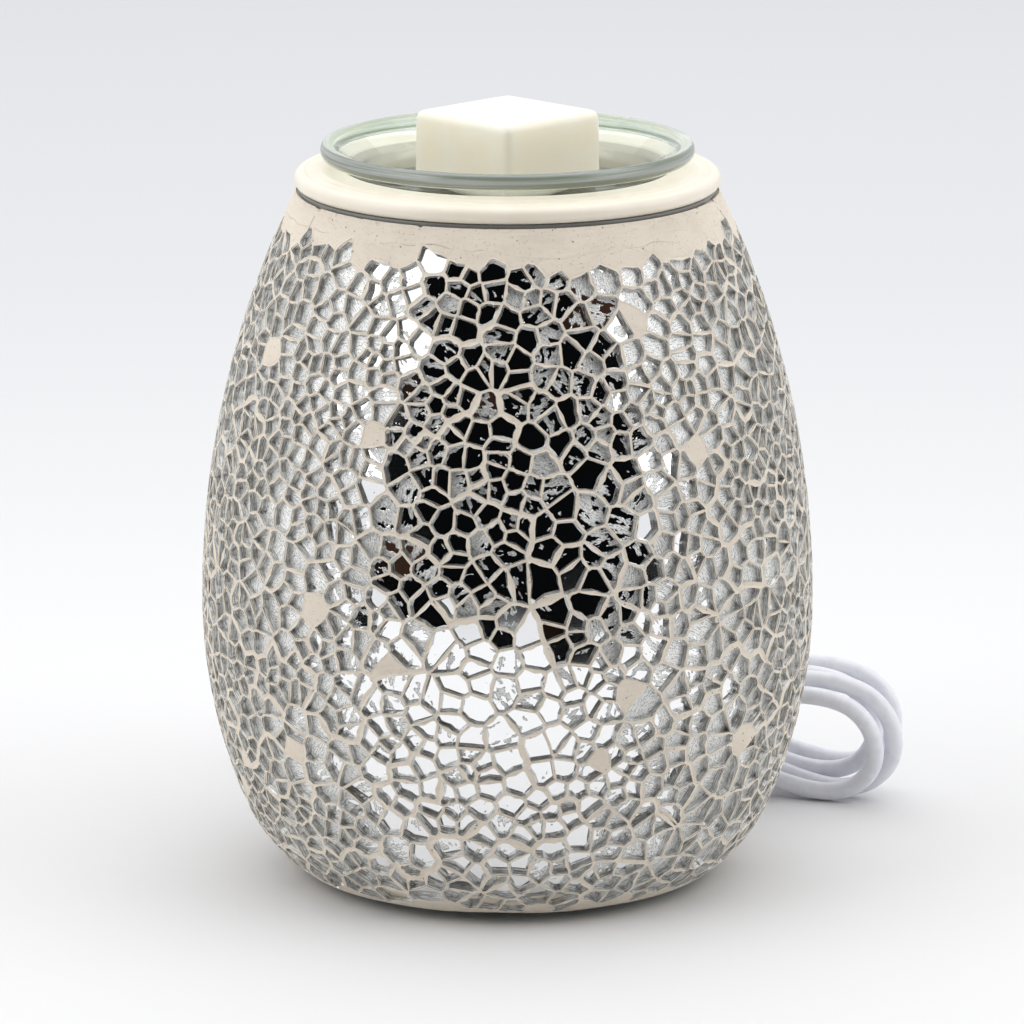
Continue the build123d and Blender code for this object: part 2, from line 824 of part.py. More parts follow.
# Hank: its length runs along e, its loops rise along u, and its layers follow n, away from the body
yaw, lean = radians(hank_yaw), radians(hank_lean)
hank_e = Vector(cos(yaw), -sin(yaw), 0)
hank_b = Vector(sin(yaw), cos(yaw), 0)
hank_u = hank_b * -sin(lean) + up * cos(lean)
hank_n = hank_b * cos(lean) + up * sin(lean)
hank_z = hank_rest + cord_d / 2 + hank_fold_r * cos(lean)
hank_origin = Vector(hank_x, hank_y, hank_z)
hank_back = hank_loops - 1


def hank_point(along, rise, layer):
    """A point of the hank, from its length, its height in the loop's plane and its layer."""
    return hank_origin + hank_e * along + hank_u * rise + hank_n * (layer * hank_layer)


def fold_r(half_turn):
    """Radius of a fold: it swells steadily to the third loop's and shrinks back."""
    peak = 2 * (hank_loops - 2)
    return hank_fold_r + hank_swell * max(0.0, 1 - abs(half_turn - peak) / 2)


def hank_stations():
    """The hank as pieces: runs as (start, end) pairs and folds as (start, tip, end) triples."""
    pieces = [(hank_point(-hank_left, -hank_fold_r, hank_back + 1), hank_point(0, -hank_waist, hank_back + 0.5))]
    for loop in range(hank_loops):
        layer = hank_back - loop
        right_r, left_r = fold_r(2 * loop), fold_r(2 * loop + 1)
        reach = hank_reach + hank_stagger * (1 - loop % 2) + hank_grow * loop
        centre = reach - right_r
        low, top = hank_point(centre, -right_r, layer), hank_point(centre, right_r, layer)
        pieces.append((hank_point(0, -hank_waist, layer + 0.5), low))
        pieces.append((low, hank_point(reach, 0, layer), top))
        pieces.append((top, hank_point(0, hank_waist, layer)))
        left_top = hank_point(-hank_left, left_r, layer)
        pieces.append((hank_point(0, hank_waist, layer), left_top))
        if layer:
            left_low = hank_point(-hank_left, -left_r, layer)
            pieces.append((left_top, hank_point(-hank_left - left_r, 0, layer), left_low))
            pieces.append((left_low, hank_point(0, -hank_waist, layer - 0.5)))
    return pieces


def least_self_gap(edges, reach):
    """Least gap between stretches of one tube that lie further apart along it than reach."""
    points, travel = [], []
    run = 0.0
    for edge in edges:
        steps = max(2, int(edge.length / cord_d * 2))
        for step in range(steps):
            points.append(edge.position_at(step / steps))
            travel.append(run + edge.length * step / steps)
        run += edge.length
    gap = min(
        (points[i] - points[j]).length
        for i in range(len(points))
        for j in range(i)
        if travel[i] - travel[j] > reach
    )
    return gap - cord_d, run


hank_start = hank_point(-hank_left, -hank_fold_r, hank_back + 1)
hank_end = hank_point(-hank_left, fold_r(2 * hank_loops - 1), 0)
with BuildPart() as cord_hank:
    with BuildLine() as hank_path:
        Line(hank_start - hank_e * cord_d, hank_start)
        for piece in hank_stations():
            if len(piece) == 3:
                ThreePointArc(*piece)
            else:
                start, end = piece
                heading = hank_e if (end - start).dot(hank_e) > 0 else hank_e * -1
                middle = (start + end) * 0.5
                TangentArc(start, middle, tangent=heading)
                TangentArc(end, middle, tangent=heading * -1)
        Line(hank_end, hank_end - hank_e * cord_d)
    with BuildSketch(Plane(origin=hank_start - hank_e * cord_d, z_dir=hank_e)):
        Circle(cord_d / 2)
    sweep(path=hank_path.wire())
hank_gap, hank_length = least_self_gap(hank_path.wire().order_edges(), 3 * cord_d)
print("hank length", round(hank_length, 1), "least self gap", round(hank_gap, 2))
print("hank volume ratio", round(cord_hank.part.volume / (pi * (cord_d / 2) ** 2 * hank_length), 3))
finish(cord_hank, "cord_hank")

# Twist tie round the hank's waist, with its twisted ends standing out at the back
tie_low = -hank_waist - cord_d / 2 - tie_clear
tie_high = hank_waist + cord_d / 2 + tie_clear
tie_front = -cord_d / 2 - tie_clear
tie_back = (hank_back + 0.5) * hank_layer + cord_d / 2 + tie_clear
tie_plane = Plane(origin=hank_origin - hank_e * (tie_w / 2), x_dir=hank_n, z_dir=hank_e)
with BuildPart() as hank_tie:
    with BuildSketch(tie_plane):
        with Locations(((tie_front + tie_back) / 2, -(tie_low + tie_high) / 2)):
            RectangleRounded(
                tie_back - tie_front + 2 * tie_t,
                tie_high - tie_low + 2 * tie_t,
                cord_d / 2 + tie_t,
            )
            RectangleRounded(tie_back - tie_front, tie_high - tie_low, cord_d / 2, mode=Mode.SUBTRACT)
    extrude(amount=tie_w)
    with BuildSketch(Plane(origin=hank_origin + hank_n * (tie_back + tie_t / 2), x_dir=hank_e, z_dir=hank_n)):
        RectangleRounded(tie_tail_w, tie_t, tie_t / 3)
    extrude(amount=tie_tail)
finish(hank_tie, "hank_tie")

# Cord from the bushing to the hank
lead_route = [
    at_cord(tail_end_r, cord_z),
    (-53.0, 84.8, 18.0),
    (-51.4, 101.6, 11.0),
    (-39.4, 113.4, 5.0),
    (-22.5, 114.8, 3.0),
    hank_start - hank_e * hank_lead_run,
    hank_start - hank_e * cord_d,
]
with BuildPart() as cord_lead:
    cord_tube(lead_route, cord_d / 2, "cord lead")
finish(cord_lead, "cord_lead")

# Inline switch behind the hank, lying along +X
switch_z = switch_rest + switch_h / 2
switch_mid_x = switch_x + switch_neck_len + switch_len / 2
split_z = switch_rest + switch_h * switch_split_share


def switch_outline():
    """Plan of the switch: a bar that narrows to its ends, made in the open sketch context."""
    half_len, half_w = switch_len / 2, switch_w / 2
    end_w = half_w * switch_end_share
    shoulder = half_len * switch_end_share
    Polygon(
        (-half_len, -end_w),
        (-shoulder, -half_w),
        (shoulder, -half_w),
        (half_len, -end_w),
        (half_len, end_w),
        (shoulder, half_w),
        (-shoulder, half_w),
        (-half_len, end_w),
        align=None,
    )


def switch_plane(z):
    """A level plane over the middle of the switch."""
    return Plane(origin=(switch_mid_x, switch_y, z))


with BuildPart() as switch_base:
    with BuildSketch(switch_plane(switch_rest)):
        switch_outline()
    extrude(amount=split_z - switch_rest)
    fillet(switch_base.edges().group_by(Axis.Z)[0], switch_round)
    with BuildSketch(switch_plane(switch_rest + switch_wall)):
        Rectangle(rocker_len + 2 * rocker_clear, rocker_w + 2 * rocker_clear)
    extrude(amount=switch_h, mode=Mode.SUBTRACT)
    with BuildSketch(switch_plane(switch_rest)):
        with Locations((switch_screw_x, 0), (-switch_screw_x, 0)):
            Circle(switch_screw_head_r + screw_clear)
    extrude(amount=switch_screw_recess, mode=Mode.SUBTRACT)
    with BuildSketch(switch_plane(switch_rest)):
        with Locations((switch_screw_x, 0), (-switch_screw_x, 0)):
            Circle(switch_screw_r)
    extrude(amount=switch_h, mode=Mode.SUBTRACT)
finish(switch_base, "switch_base")

switch_top_z = switch_rest + switch_h
axle_z = switch_top_z - rocker_h / 2
axle_len = switch_w - 2 * switch_wall
axle_plane = Plane(origin=(switch_mid_x, switch_y, axle_z), z_dir=(0, 1, 0))
screw_top_z = split_z + switch_screw_r * 2
with BuildPart() as switch_cover:
    with BuildSketch(switch_plane(split_z)):
        switch_outline()
    extrude(amount=switch_top_z - split_z)
    fillet(switch_cover.edges().group_by(Axis.Z)[-1], switch_round)
    with BuildSketch(switch_plane(split_z)):
        Rectangle(rocker_len + 2 * rocker_clear, rocker_w + 2 * rocker_clear)
    extrude(amount=switch_h, mode=Mode.SUBTRACT)
    with BuildSketch(axle_plane):
        Circle(rocker_axle_r + rocker_axle_clear)
    extrude(amount=axle_len / 2, both=True, mode=Mode.SUBTRACT)
    with BuildSketch(switch_plane(split_z)):
        with Locations((switch_screw_x, 0), (-switch_screw_x, 0)):
            Circle(switch_screw_r)
    extrude(amount=screw_top_z - split_z, mode=Mode.SUBTRACT)
finish(switch_cover, "switch_cover")

# Rocker: a paddle with a dip between its two ends, on an axle moulded with it, pressed at its -X end
rocker_dir = (cos(radians(rocker_tilt)), 0, sin(radians(rocker_tilt)))
rocker_plane = Plane(origin=(switch_mid_x, switch_y, axle_z), x_dir=rocker_dir, z_dir=(0, -1, 0))
with BuildPart() as switch_rocker:
    with BuildSketch(rocker_plane):
        with BuildLine():
            half = rocker_len / 2
            crown = rocker_h / 2 + rocker_rise
            ThreePointArc((-half, crown), (0, crown - rocker_dip), (half, crown))
            Polyline(
                (half, crown),
                (half - rocker_clear, 0),
                (half / 2, -rocker_h / 2),
                (-half / 2, -rocker_h / 2),
                (-half + rocker_clear, 0),
                (-half, crown),
            )
        make_face()
    extrude(amount=rocker_w / 2, both=True)
    with BuildSketch(axle_plane):
        Circle(rocker_axle_r)
    extrude(amount=axle_len / 2 - rocker_axle_clear, both=True)
finish(switch_rocker, "switch_rocker")

# Two screws up through the switch
with BuildPart() as switch_screws:
    for side in (1, -1):
        with BuildSketch(switch_plane(switch_rest)):
            with Locations((side * switch_screw_x, 0)):
                Circle(switch_screw_r)
        extrude(amount=screw_top_z - switch_rest)
        with BuildSketch(switch_plane(switch_rest)):
            with Locations((side * switch_screw_x, 0)):
                Circle(switch_screw_head_r)
        extrude(amount=switch_screw_recess)
finish(switch_screws, "switch_screws")

# Short rubber necks where the cord enters and leaves the switch
with BuildPart() as switch_necks:
    for side in (1, -1):
        start_x = switch_mid_x + side * switch_len / 2
        with BuildSketch(Plane(origin=(start_x, switch_y, switch_z), z_dir=(side, 0, 0))):
            Circle(switch_neck_r)
        extrude(amount=switch_neck_len)
    chamfer(switch_necks.edges().group_by(Axis.X)[0], overrun)
    chamfer(switch_necks.edges().group_by(Axis.X)[-1], overrun)
finish(switch_necks, "switch_necks")

# Cord from the hank to the switch
tail_route = [
    hank_end - hank_e * cord_d,
    hank_end - hank_e * hank_tail_run,
    (-44.0, 80.6, 25.5),
    (-56.8, 95.0, 21.0),
    (-55.3, 113.4, 14.0),
    (-41.5, switch_y, switch_z),
    (switch_x, switch_y, switch_z),
]
with BuildPart() as cord_tail:
    cord_tube(tail_route, cord_d / 2, "cord tail")
finish(cord_tail, "cord_tail")

# Plug at the end of the cord, turned back to lie along -X
plug_axis_z = plug_rest + plug_t / 2
plug_face_x = plug_x - plug_tail - plug_grip_len - plug_face_len


def plug_plane(x):
    """A plane across the plug at the place x."""
    return Plane(origin=(x, plug_y, plug_axis_z), x_dir=(0, 1, 0), z_dir=(-1, 0, 0))


with BuildPart() as plug_body:
    with BuildSketch(plug_plane(plug_face_x + plug_face_len)):
        RectangleRounded(plug_w, plug_t, plug_corner)
    extrude(amount=plug_face_len)
    with BuildSketch(plug_plane(plug_face_x + plug_face_len + plug_grip_len)):
        RectangleRounded(plug_grip_w, plug_t * plug_grip_share, plug_corner)
    with BuildSketch(plug_plane(plug_face_x + plug_face_len)):
        RectangleRounded(plug_w, plug_t, plug_corner)
    loft()
    with BuildSketch(plug_plane(plug_x)):
        Circle(plug_tip_r)
    with BuildSketch(plug_plane(plug_x - plug_tail)):
        Circle(plug_tail_r)
    loft()
    for pin_y in (plug_pin_apart / 2, -plug_pin_apart / 2):
        with BuildSketch(Plane(origin=(plug_face_x, plug_y + pin_y, plug_axis_z), z_dir=(1, 0, 0))):
            Circle(plug_pin_r)
        extrude(amount=plug_pin_root, mode=Mode.SUBTRACT)
finish(plug_body, "plug_body")

with BuildPart() as plug_pins:
    for pin_y in (plug_pin_apart / 2, -plug_pin_apart / 2):
        with BuildSketch(Plane(origin=(plug_face_x + plug_pin_root, plug_y + pin_y, plug_axis_z), z_dir=(-1, 0, 0))):
            Circle(plug_pin_r)
        extrude(amount=plug_pin_root + plug_pin_len)
    fillet(plug_pins.edges().group_by(Axis.X)[0], plug_pin_r * plug_pin_round_share)
finish(plug_pins, "plug_pins")

# Cord from the switch to the plug
switch_out_x = switch_mid_x + switch_len / 2 + switch_neck_len
end_route = [
    (switch_out_x, switch_y, switch_z),
    (47.0, switch_y, switch_z),
    (61.0, 140.4, 3.6),
    (61.0, 160.4, 3.6),
    (46.8, plug_y, plug_axis_z),
    (plug_x, plug_y, plug_axis_z),
]
with BuildPart() as cord_end:
    cord_tube(end_route, cord_d / 2, "cord end")
finish(cord_end, "cord_end")
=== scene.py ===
"""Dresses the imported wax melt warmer: its mirror mosaic, grout, collar, glass dish, wax, lamp and cord."""

import logging
from dataclasses import dataclass, field
from enum import Enum

import bpy
import numpy as np
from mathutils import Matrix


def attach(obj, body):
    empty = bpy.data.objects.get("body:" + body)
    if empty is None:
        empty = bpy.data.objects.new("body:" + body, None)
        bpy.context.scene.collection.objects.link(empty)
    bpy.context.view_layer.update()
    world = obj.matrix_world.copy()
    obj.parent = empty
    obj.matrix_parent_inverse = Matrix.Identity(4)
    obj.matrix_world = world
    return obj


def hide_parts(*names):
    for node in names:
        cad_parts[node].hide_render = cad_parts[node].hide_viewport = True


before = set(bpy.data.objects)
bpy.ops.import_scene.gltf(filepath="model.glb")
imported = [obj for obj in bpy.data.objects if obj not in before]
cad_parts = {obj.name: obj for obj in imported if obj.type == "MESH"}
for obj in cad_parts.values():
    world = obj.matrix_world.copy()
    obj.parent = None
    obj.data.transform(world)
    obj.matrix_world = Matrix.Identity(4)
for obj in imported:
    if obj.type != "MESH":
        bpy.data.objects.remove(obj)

LOG = logging.getLogger("warmer")
MM = 0.001
PHOTO_PX = 1024
FULL_TURN = 2 * np.pi
TINY = 1e-6
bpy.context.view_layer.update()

Triple = tuple[float, float, float]
Pair = tuple[float, float]


# Shader maths


def linear(red: int, green: int, blue: int) -> Triple:
    """A colour of 0 to 255 as the eye sees it, turned to the linear scale that shaders take."""
    share = np.array([red, green, blue]) / 255
    return tuple(np.where(share <= 0.04045, share / 12.92, ((share + 0.055) / 1.055) ** 2.4).tolist())


class Wire:
    """A shader socket that takes part in Python expressions."""

    def __init__(self, tree: "Tree", socket: bpy.types.NodeSocket) -> None:
        """Keep the socket and the tree that it belongs to."""
        self.tree = tree
        self.socket = socket

    def math(self, operation: str, *values: object, clamp: bool = False) -> "Wire":
        """The result of a Math node on numbers or wires, kept between 0 and 1 where clamped."""
        settings = {"operation": operation, "use_clamp": clamp}
        return self.tree.add("ShaderNodeMath", settings, dict(enumerate(values)))

    def __add__(self, other: object) -> "Wire":
        """Sum."""
        return self.math("ADD", self, other)

    def __sub__(self, other: object) -> "Wire":
        """Difference."""
        return self.math("SUBTRACT", self, other)

    def __rsub__(self, other: object) -> "Wire":
        """Difference, reflected."""
        return self.math("SUBTRACT", other, self)

    def __mul__(self, other: object) -> "Wire":
        """Product."""
        return self.math("MULTIPLY", self, other)

    def __abs__(self) -> "Wire":
        """The value without its sign."""
        return self.math("ABSOLUTE", self)

    __radd__ = __add__
    __rmul__ = __mul__

    def larger(self, other: object) -> "Wire":
        """The larger of two values."""
        return self.math("MAXIMUM", self, other)

    def clamped(self) -> "Wire":
        """The value kept between 0 and 1."""
        return self.math("ADD", self, 0.0, clamp=True)

    def step(self, low: float, high: float) -> "Wire":
        """A smooth step.

        Args:
            low: the value at which the result is 0.
            high: the value at which the result is 1.

        Returns:
            The smooth step of this value.
        """
        inputs = {"Value": self, "From Min": low, "From Max": high}
        return self.tree.add("ShaderNodeMapRange", {"interpolation_type": "SMOOTHSTEP"}, inputs)


class Tree:
    """A node tree that is being filled."""

    def __init__(self, nodes: bpy.types.NodeTree) -> None:
        """Keep the tree's nodes and links."""
        self.nodes = nodes.nodes
        self.links = nodes.links

    def add(self, kind: str, settings: dict, inputs: dict, output: int | str = 0) -> Wire:
        """Add any node.

        Args:
            kind: the node's type.
            settings: its properties, set first.
            inputs: values or wires, by socket name or number.
            output: the socket that is returned.

        Returns:
            A wire from that socket.
        """
        node = self.nodes.new(kind)
        for key, value in settings.items():
            setattr(node, key, value)
        for key, value in inputs.items():
            self.plug(node.inputs[key], value)
        return Wire(self, node.outputs[output])

    def plug(self, socket: bpy.types.NodeSocket, value: object) -> None:
        """Link a wire to a socket, or set a plain value on it."""
        if isinstance(value, Wire):
            self.links.new(value.socket, socket)
        elif socket.type == "RGBA":
            socket.default_value = (*value, 1.0)
        else:
            socket.default_value = value

    def ray(self, kind: str) -> Wire:
        """What the Light Path node says of the ray that arrives."""
        return self.add("ShaderNodeLightPath", {}, {}, kind)

    def space(self) -> Wire:
        """The object's own coordinates in metres."""
        return self.add("ShaderNodeTexCoord", {}, {}, "Object")


@dataclass(frozen=True)
class Grain:
    """A noise pattern: lumps per millimetre, octaves, strength of the fine ones, and a factor for each axis.

    It lies in the object's space, or on the map of the chips where on_chip is set.
    """

    scale: float = 1.0
    octaves: float = 3.0
    fine: float = 0.55
    axes: Triple = (1.0, 1.0, 1.0)
    on_chip: bool = False


@dataclass(frozen=True)
class Dots:
    """Round spots: points per millimetre, the distances over which a spot fades, and their unevenness."""

    scale: float
    fade: Pair
    uneven: float = 0.0


class Paint(Tree):
    """A material being made, with one Principled shader."""

    def __init__(self, name: str) -> None:
        """Start a material of that name."""
        self.material = bpy.data.materials.new(name)
        self.material.use_nodes = True
        super().__init__(self.material.node_tree)
        self.shader = next(node for node in self.nodes if node.type == "BSDF_PRINCIPLED")

    def place(self, axes: Triple = (1.0, 1.0, 1.0), on_chip: bool = False) -> Wire:
        """Coordinates in millimetres, times a factor for each axis.

        Args:
            axes: the factors.
            on_chip: whether they are those of the chips' map.

        Returns:
            The coordinates.
        """
        ground = self.add("ShaderNodeUVMap", {"uv_map": "chip"}, {}) if on_chip else self.space()
        unit = 1.0 if on_chip else MM
        scale = tuple(axis / unit for axis in axes)
        return self.add("ShaderNodeMapping", {}, {"Vector": ground, "Scale": scale})

    def noise(self, grain: Grain) -> Wire:
        """A noise pattern.

        Args:
            grain: what it is like.

        Returns:
            The pattern, from 0 to 1.
        """
        place = self.place(grain.axes, grain.on_chip)
        inputs = {"Vector": place, "Scale": grain.scale, "Detail": grain.octaves, "Roughness": grain.fine}
        return self.add("ShaderNodeTexNoise", {}, inputs)

    def spots(self, dots: Dots, wobble: Wire | float = 0.0) -> Wire:
        """Spots round scattered points.

        Args:
            dots: their size and number.
            wobble: what makes them uneven.

        Returns:
            1 in a spot and 0 between.
        """
        inputs = {"Vector": self.place(), "Scale": dots.scale}
        away = self.add("ShaderNodeTexVoronoi", {}, inputs, "Distance")
        return 1.0 - (away + wobble * dots.uneven).step(*dots.fade)

    def value_of(self, attribute: str) -> Wire:
        """A number that the mesh carries in an attribute."""
        return self.add("ShaderNodeAttribute", {"attribute_name": attribute}, {}, "Fac")

    def blend(self, share: Wire, first: object, second: object) -> Wire:
        """Two colours mixed, with a share of the second from 0 to 1."""
        return self.add("ShaderNodeMix", {"data_type": "RGBA"}, {0: share, 6: first, 7: second}, 2)

    def bump(self, height: Wire, depth: float, strength: float) -> Wire:
        """A bumped normal.

        Args:
            height: the relief, from 0 to 1.
            depth: its full depth in millimetres.
            strength: how much of it shows.

        Returns:
            The normal.
        """
        inputs = {"Strength": strength, "Distance": depth * MM, "Height": height}
        return self.add("ShaderNodeBump", {}, inputs)

    def finish(self, **sockets: object) -> bpy.types.Material:
        """Set the Principled shader's sockets, named with _ for a space, and return the material."""
        for key, value in sockets.items():
            self.plug(self.shader.inputs[key.replace("_", " ")], value)
        return self.material


# Finishes


@dataclass(frozen=True)
class Plaster:
    """Grout wiped by hand: a sandy ground with pits, grit, scratches and faint smears."""

    colour: Triple = linear(233, 223, 208)
    shade: Triple = linear(200, 187, 170)
    # Dark colour of the pits and scratches, painted shade in those hollows, and of the grit's own dark
    # grains.
    pit_shade_and_grit: Triple = linear(120, 108, 96)
    sand: Grain = Grain(2.4, 3.0, 0.7)
    smear: Grain = Grain(0.16, 4.0, axes=(0.5, 0.5, 1.1))
    pit_size: Grain = Grain(0.12, 1.0)
    scratch: Grain = Grain(0.35, 2.0, axes=(0.5, 0.5, 3.2))
    pits: Dots = Dots(0.42, (0.115, 0.15), 0.10)
    grit: Dots = Dots(0.95, (0.22, 0.30), 0.22)
    scratch_width: float = 0.012
    smear_edge: Pair = (0.40, 0.8)
    smear_tone: float = 0.30
    sand_tone: float = 0.26
    pit_tone: float = 0.75
    grit_tone: float = 0.30
    scratch_tone: float = 0.16
    sand_high: float = 0.35
    smear_high: float = 0.4
    pit_deep: float = 0.8
    grit_deep: float = 0.4
    scratch_deep: float = 0.18
    rough: float = 0.86
    depth: float = 0.22
    strength: float = 0.55

    def material(self) -> bpy.types.Material:
        """Build the material. A scratch is where its noise crosses the middle of its range."""
        paint = Paint("grout")
        sand, smear = paint.noise(self.sand), paint.noise(self.smear)
        pits = paint.spots(self.pits, paint.noise(self.pit_size))
        grit = paint.spots(self.grit, sand)
        scratches = 1.0 - abs(paint.noise(self.scratch) - 0.5).step(0.0, self.scratch_width)
        cloud = smear.step(*self.smear_edge) * self.smear_tone + sand * self.sand_tone
        # Pits and scratches are sunk by the bump and also painted darker, painted shade in those hollows; the
        # grit's dark grains are their own colour.
        marks = pits * self.pit_tone + grit * self.grit_tone + scratches * self.scratch_tone
        tone = paint.blend(cloud.clamped(), self.colour, self.shade)
        tone = paint.blend(marks.clamped(), tone, self.pit_shade_and_grit)
        relief = sand * self.sand_high + smear * self.smear_high
        relief = relief - pits * self.pit_deep - grit * self.grit_deep - scratches * self.scratch_deep
        normal = paint.bump(relief, self.depth, self.strength)
        return paint.finish(Base_Color=tone, Roughness=self.rough, Normal=normal)


@dataclass(frozen=True)
class SilverBack:
    """The silvered back of a glass chip, crazed with hair-fine fracture lines in places, where white specks
    are painted glints and dark specks are painted dark reflections.
    """

    silver: Triple = linear(246, 247, 248)
    dark: Triple = linear(164, 164, 156)
    pale: Triple = linear(252, 253, 251)
    # Painted glints: white specks that stand in for glints of light on the crazed glass.
    painted_glint: Triple = linear(255, 255, 255)
    # Painted dark reflections: the colour of the dark specks in the crazed parts.
    deep: Triple = linear(116, 116, 110)
    lines: Grain = Grain(1.0, 3.0, 0.75, (0.55, 3.6, 1.0), True)
    patches: Grain = Grain(1.0, 2.0, axes=(0.30, 0.55, 1.0), on_chip=True)
    specks: Grain = Grain(1.0, 2.0, 0.7, (2.4, 4.4, 1.0), True)
    crazed_edge: Pair = (-0.02, 0.03)
    streak_edge: Pair = (0.42, 0.52)
    painted_glint_edge: Pair = (0.53, 0.58)
    dark_reflection_edge: Pair = (0.36, 0.42)
    dark_reflection_share: float = 0.8
    rough: float = 0.035
    crazed_rough: float = 0.26
    crazed_dull: float = 0.45
    line_high: float = 0.6
    speck_high: float = 0.4
    depth: float = 0.5
    strength: float = 0.6
    coat_rough: float = 0.05
    coat_ior: float = 1.9

    def material(self) -> bpy.types.Material:
        """Build the material. The chip's own map runs along its fractures, in millimetres."""
        paint = Paint("mirror_chip")
        lines, patches, specks = (paint.noise(grain) for grain in (self.lines, self.patches, self.specks))
        crazed = (patches + paint.value_of("crackle") - 1.0).step(*self.crazed_edge)
        # The dark and pale streaks follow the fracture lines, and their contrast is partly painted
        # reflection; then come the painted glints and the painted dark reflections.
        tone = paint.blend(lines.step(*self.streak_edge), self.dark, self.pale)
        tone = paint.blend(specks.step(*self.painted_glint_edge), tone, self.painted_glint)
        tone = paint.blend((1.0 - specks.step(*self.dark_reflection_edge)) * self.dark_reflection_share, tone, self.deep)
        relief = (lines * self.line_high + specks * self.speck_high) * crazed
        return paint.finish(
            Base_Color=paint.blend(crazed, self.silver, tone),
            Roughness=crazed * self.crazed_rough + self.rough,
            Metallic=1.0 - crazed * self.crazed_dull,
            Normal=paint.bump(relief, self.depth, self.strength),
            Coat_Weight=1.0,
            Coat_Roughness=self.coat_rough,
            Coat_IOR=self.coat_ior,
        )


@dataclass(frozen=True)
class BrokenEdge:
    """The broken edge of a glass chip: pale and dark streaks that run along the break."""

    dark: Triple = linear(148, 147, 139)
    pale: Triple = linear(252, 253, 252)
    lines: Grain = Grain(1.0, 3.0, 0.75, (0.32, 4.2, 1.0), True)
    streak_edge: Pair = (0.42, 0.60)
    rough: float = 0.24
    metal: float = 0.55
    depth: float = 0.4
    strength: float = 0.7
    coat_rough: float = 0.08
    coat_ior: float = 1.9

    def material(self) -> bpy.types.Material:
        """Build the material. The chip's own map runs along the edge, in millimetres."""
        paint = Paint("chip_edge")
        lines = paint.noise(self.lines)
        return paint.finish(
            Base_Color=paint.blend(lines.step(*self.streak_edge), self.dark, self.pale),
            Roughness=self.rough,
            Metallic=self.metal,
            Normal=paint.bump(lines, self.depth, self.strength),
            Coat_Weight=1.0,
            Coat_Roughness=self.coat_rough,
            Coat_IOR=self.coat_ior,
        )


@dataclass(frozen=True)
class ClearGlass:
    """Clear glass with a faint tint of its own and slow waves."""

    name: str
    tint: Triple
    wave: float = 0.02
    swell: Grain = Grain(0.05, 1.0)
    strength: float = 0.5
    ior: float = 1.5

    def material(self) -> bpy.types.Material:
        """Build the material."""
        paint = Paint(self.name)
        normal = paint.bump(paint.noise(self.swell), self.wave, self.strength)
        return paint.finish(
            Base_Color=self.tint,
            Roughness=0.0,
            IOR=self.ior,
            Transmission_Weight=1.0,
            Normal=normal,
        )


@dataclass(frozen=True)
class RimGlass:
    """Thick glass seen edge on: its own pale green gathers there, crossed by pale bands round the rim that
    are painted highlights.
    """

    colour: Triple = linear(192, 205, 182)
    painted_highlight: Triple = linear(244, 250, 245)
    highlight_bands: Grain = Grain(1.0, 2.0, axes=(0.02, 0.02, 1.5))
    highlight_edge: Pair = (0.40, 0.60)
    rough: float = 0.02
    clear: float = 0.6
    ior: float = 1.5

    def material(self) -> bpy.types.Material:
        """Build the material."""
        paint = Paint("rim_glass")
        # The pale bands round the rim are painted highlights.
        tone = paint.blend(paint.noise(self.highlight_bands).step(*self.highlight_edge), self.colour, self.painted_highlight)
        return paint.finish(
            Base_Color=tone,
            Roughness=self.rough,
            IOR=self.ior,
            Transmission_Weight=self.clear,
        )


@dataclass(frozen=True)
class FiredClay:
    """Ceramic, glazed or bare, with a few specks."""

    name: str
    colour: Triple
    glaze: float
    speck: Triple = linear(150, 140, 128)
    specks: Dots = Dots(0.8, (0.06, 0.12))
    speck_share: float = 0.35
    grain: Grain = Grain(1.2)
    bare_rough: float = 0.62
    glaze_shine: float = 0.42
    uneven: float = 0.1
    depth: float = 0.06
    bare_strength: float = 0.5
    glaze_smooth: float = 0.3

    def material(self) -> bpy.types.Material:
        """Build the material."""
        paint = Paint(self.name)
        grain = paint.noise(self.grain)
        return paint.finish(
            Base_Color=paint.blend(paint.spots(self.specks) * self.speck_share, self.colour, self.speck),
            Roughness=grain * self.uneven + (self.bare_rough - self.glaze_shine * self.glaze),
            Coat_Weight=self.glaze,
            Normal=paint.bump(grain, self.depth, self.bare_strength - self.glaze_smooth * self.glaze),
        )


@dataclass(frozen=True)
class Coating:
    """A plain finish: one colour clouded with a second, an uneven gloss and a fine relief.

    The pairs rough_by and relief_by say how much the cloud and the grain add to the roughness and to the
    relief.
    """

    name: str
    colour: Triple
    second: Triple
    cloud: Grain
    grain: Grain
    spread: Pair
    share: float
    rough: float
    rough_by: Pair
    depth: float
    strength: float
    relief_by: Pair = (0.0, 1.0)
    sockets: dict[str, object] = field(default_factory=dict)

    def material(self) -> bpy.types.Material:
        """Build the material."""
        paint = Paint(self.name)
        cloud, grain = paint.noise(self.cloud), paint.noise(self.grain)
        relief = cloud * self.relief_by[0] + grain * self.relief_by[1]
        return paint.finish(
            Base_Color=paint.blend(cloud.step(*self.spread) * self.share, self.colour, self.second),
            Roughness=cloud * self.rough_by[0] + grain * self.rough_by[1] + self.rough,
            Normal=paint.bump(relief, self.depth, self.strength),
            **self.sockets,
        )


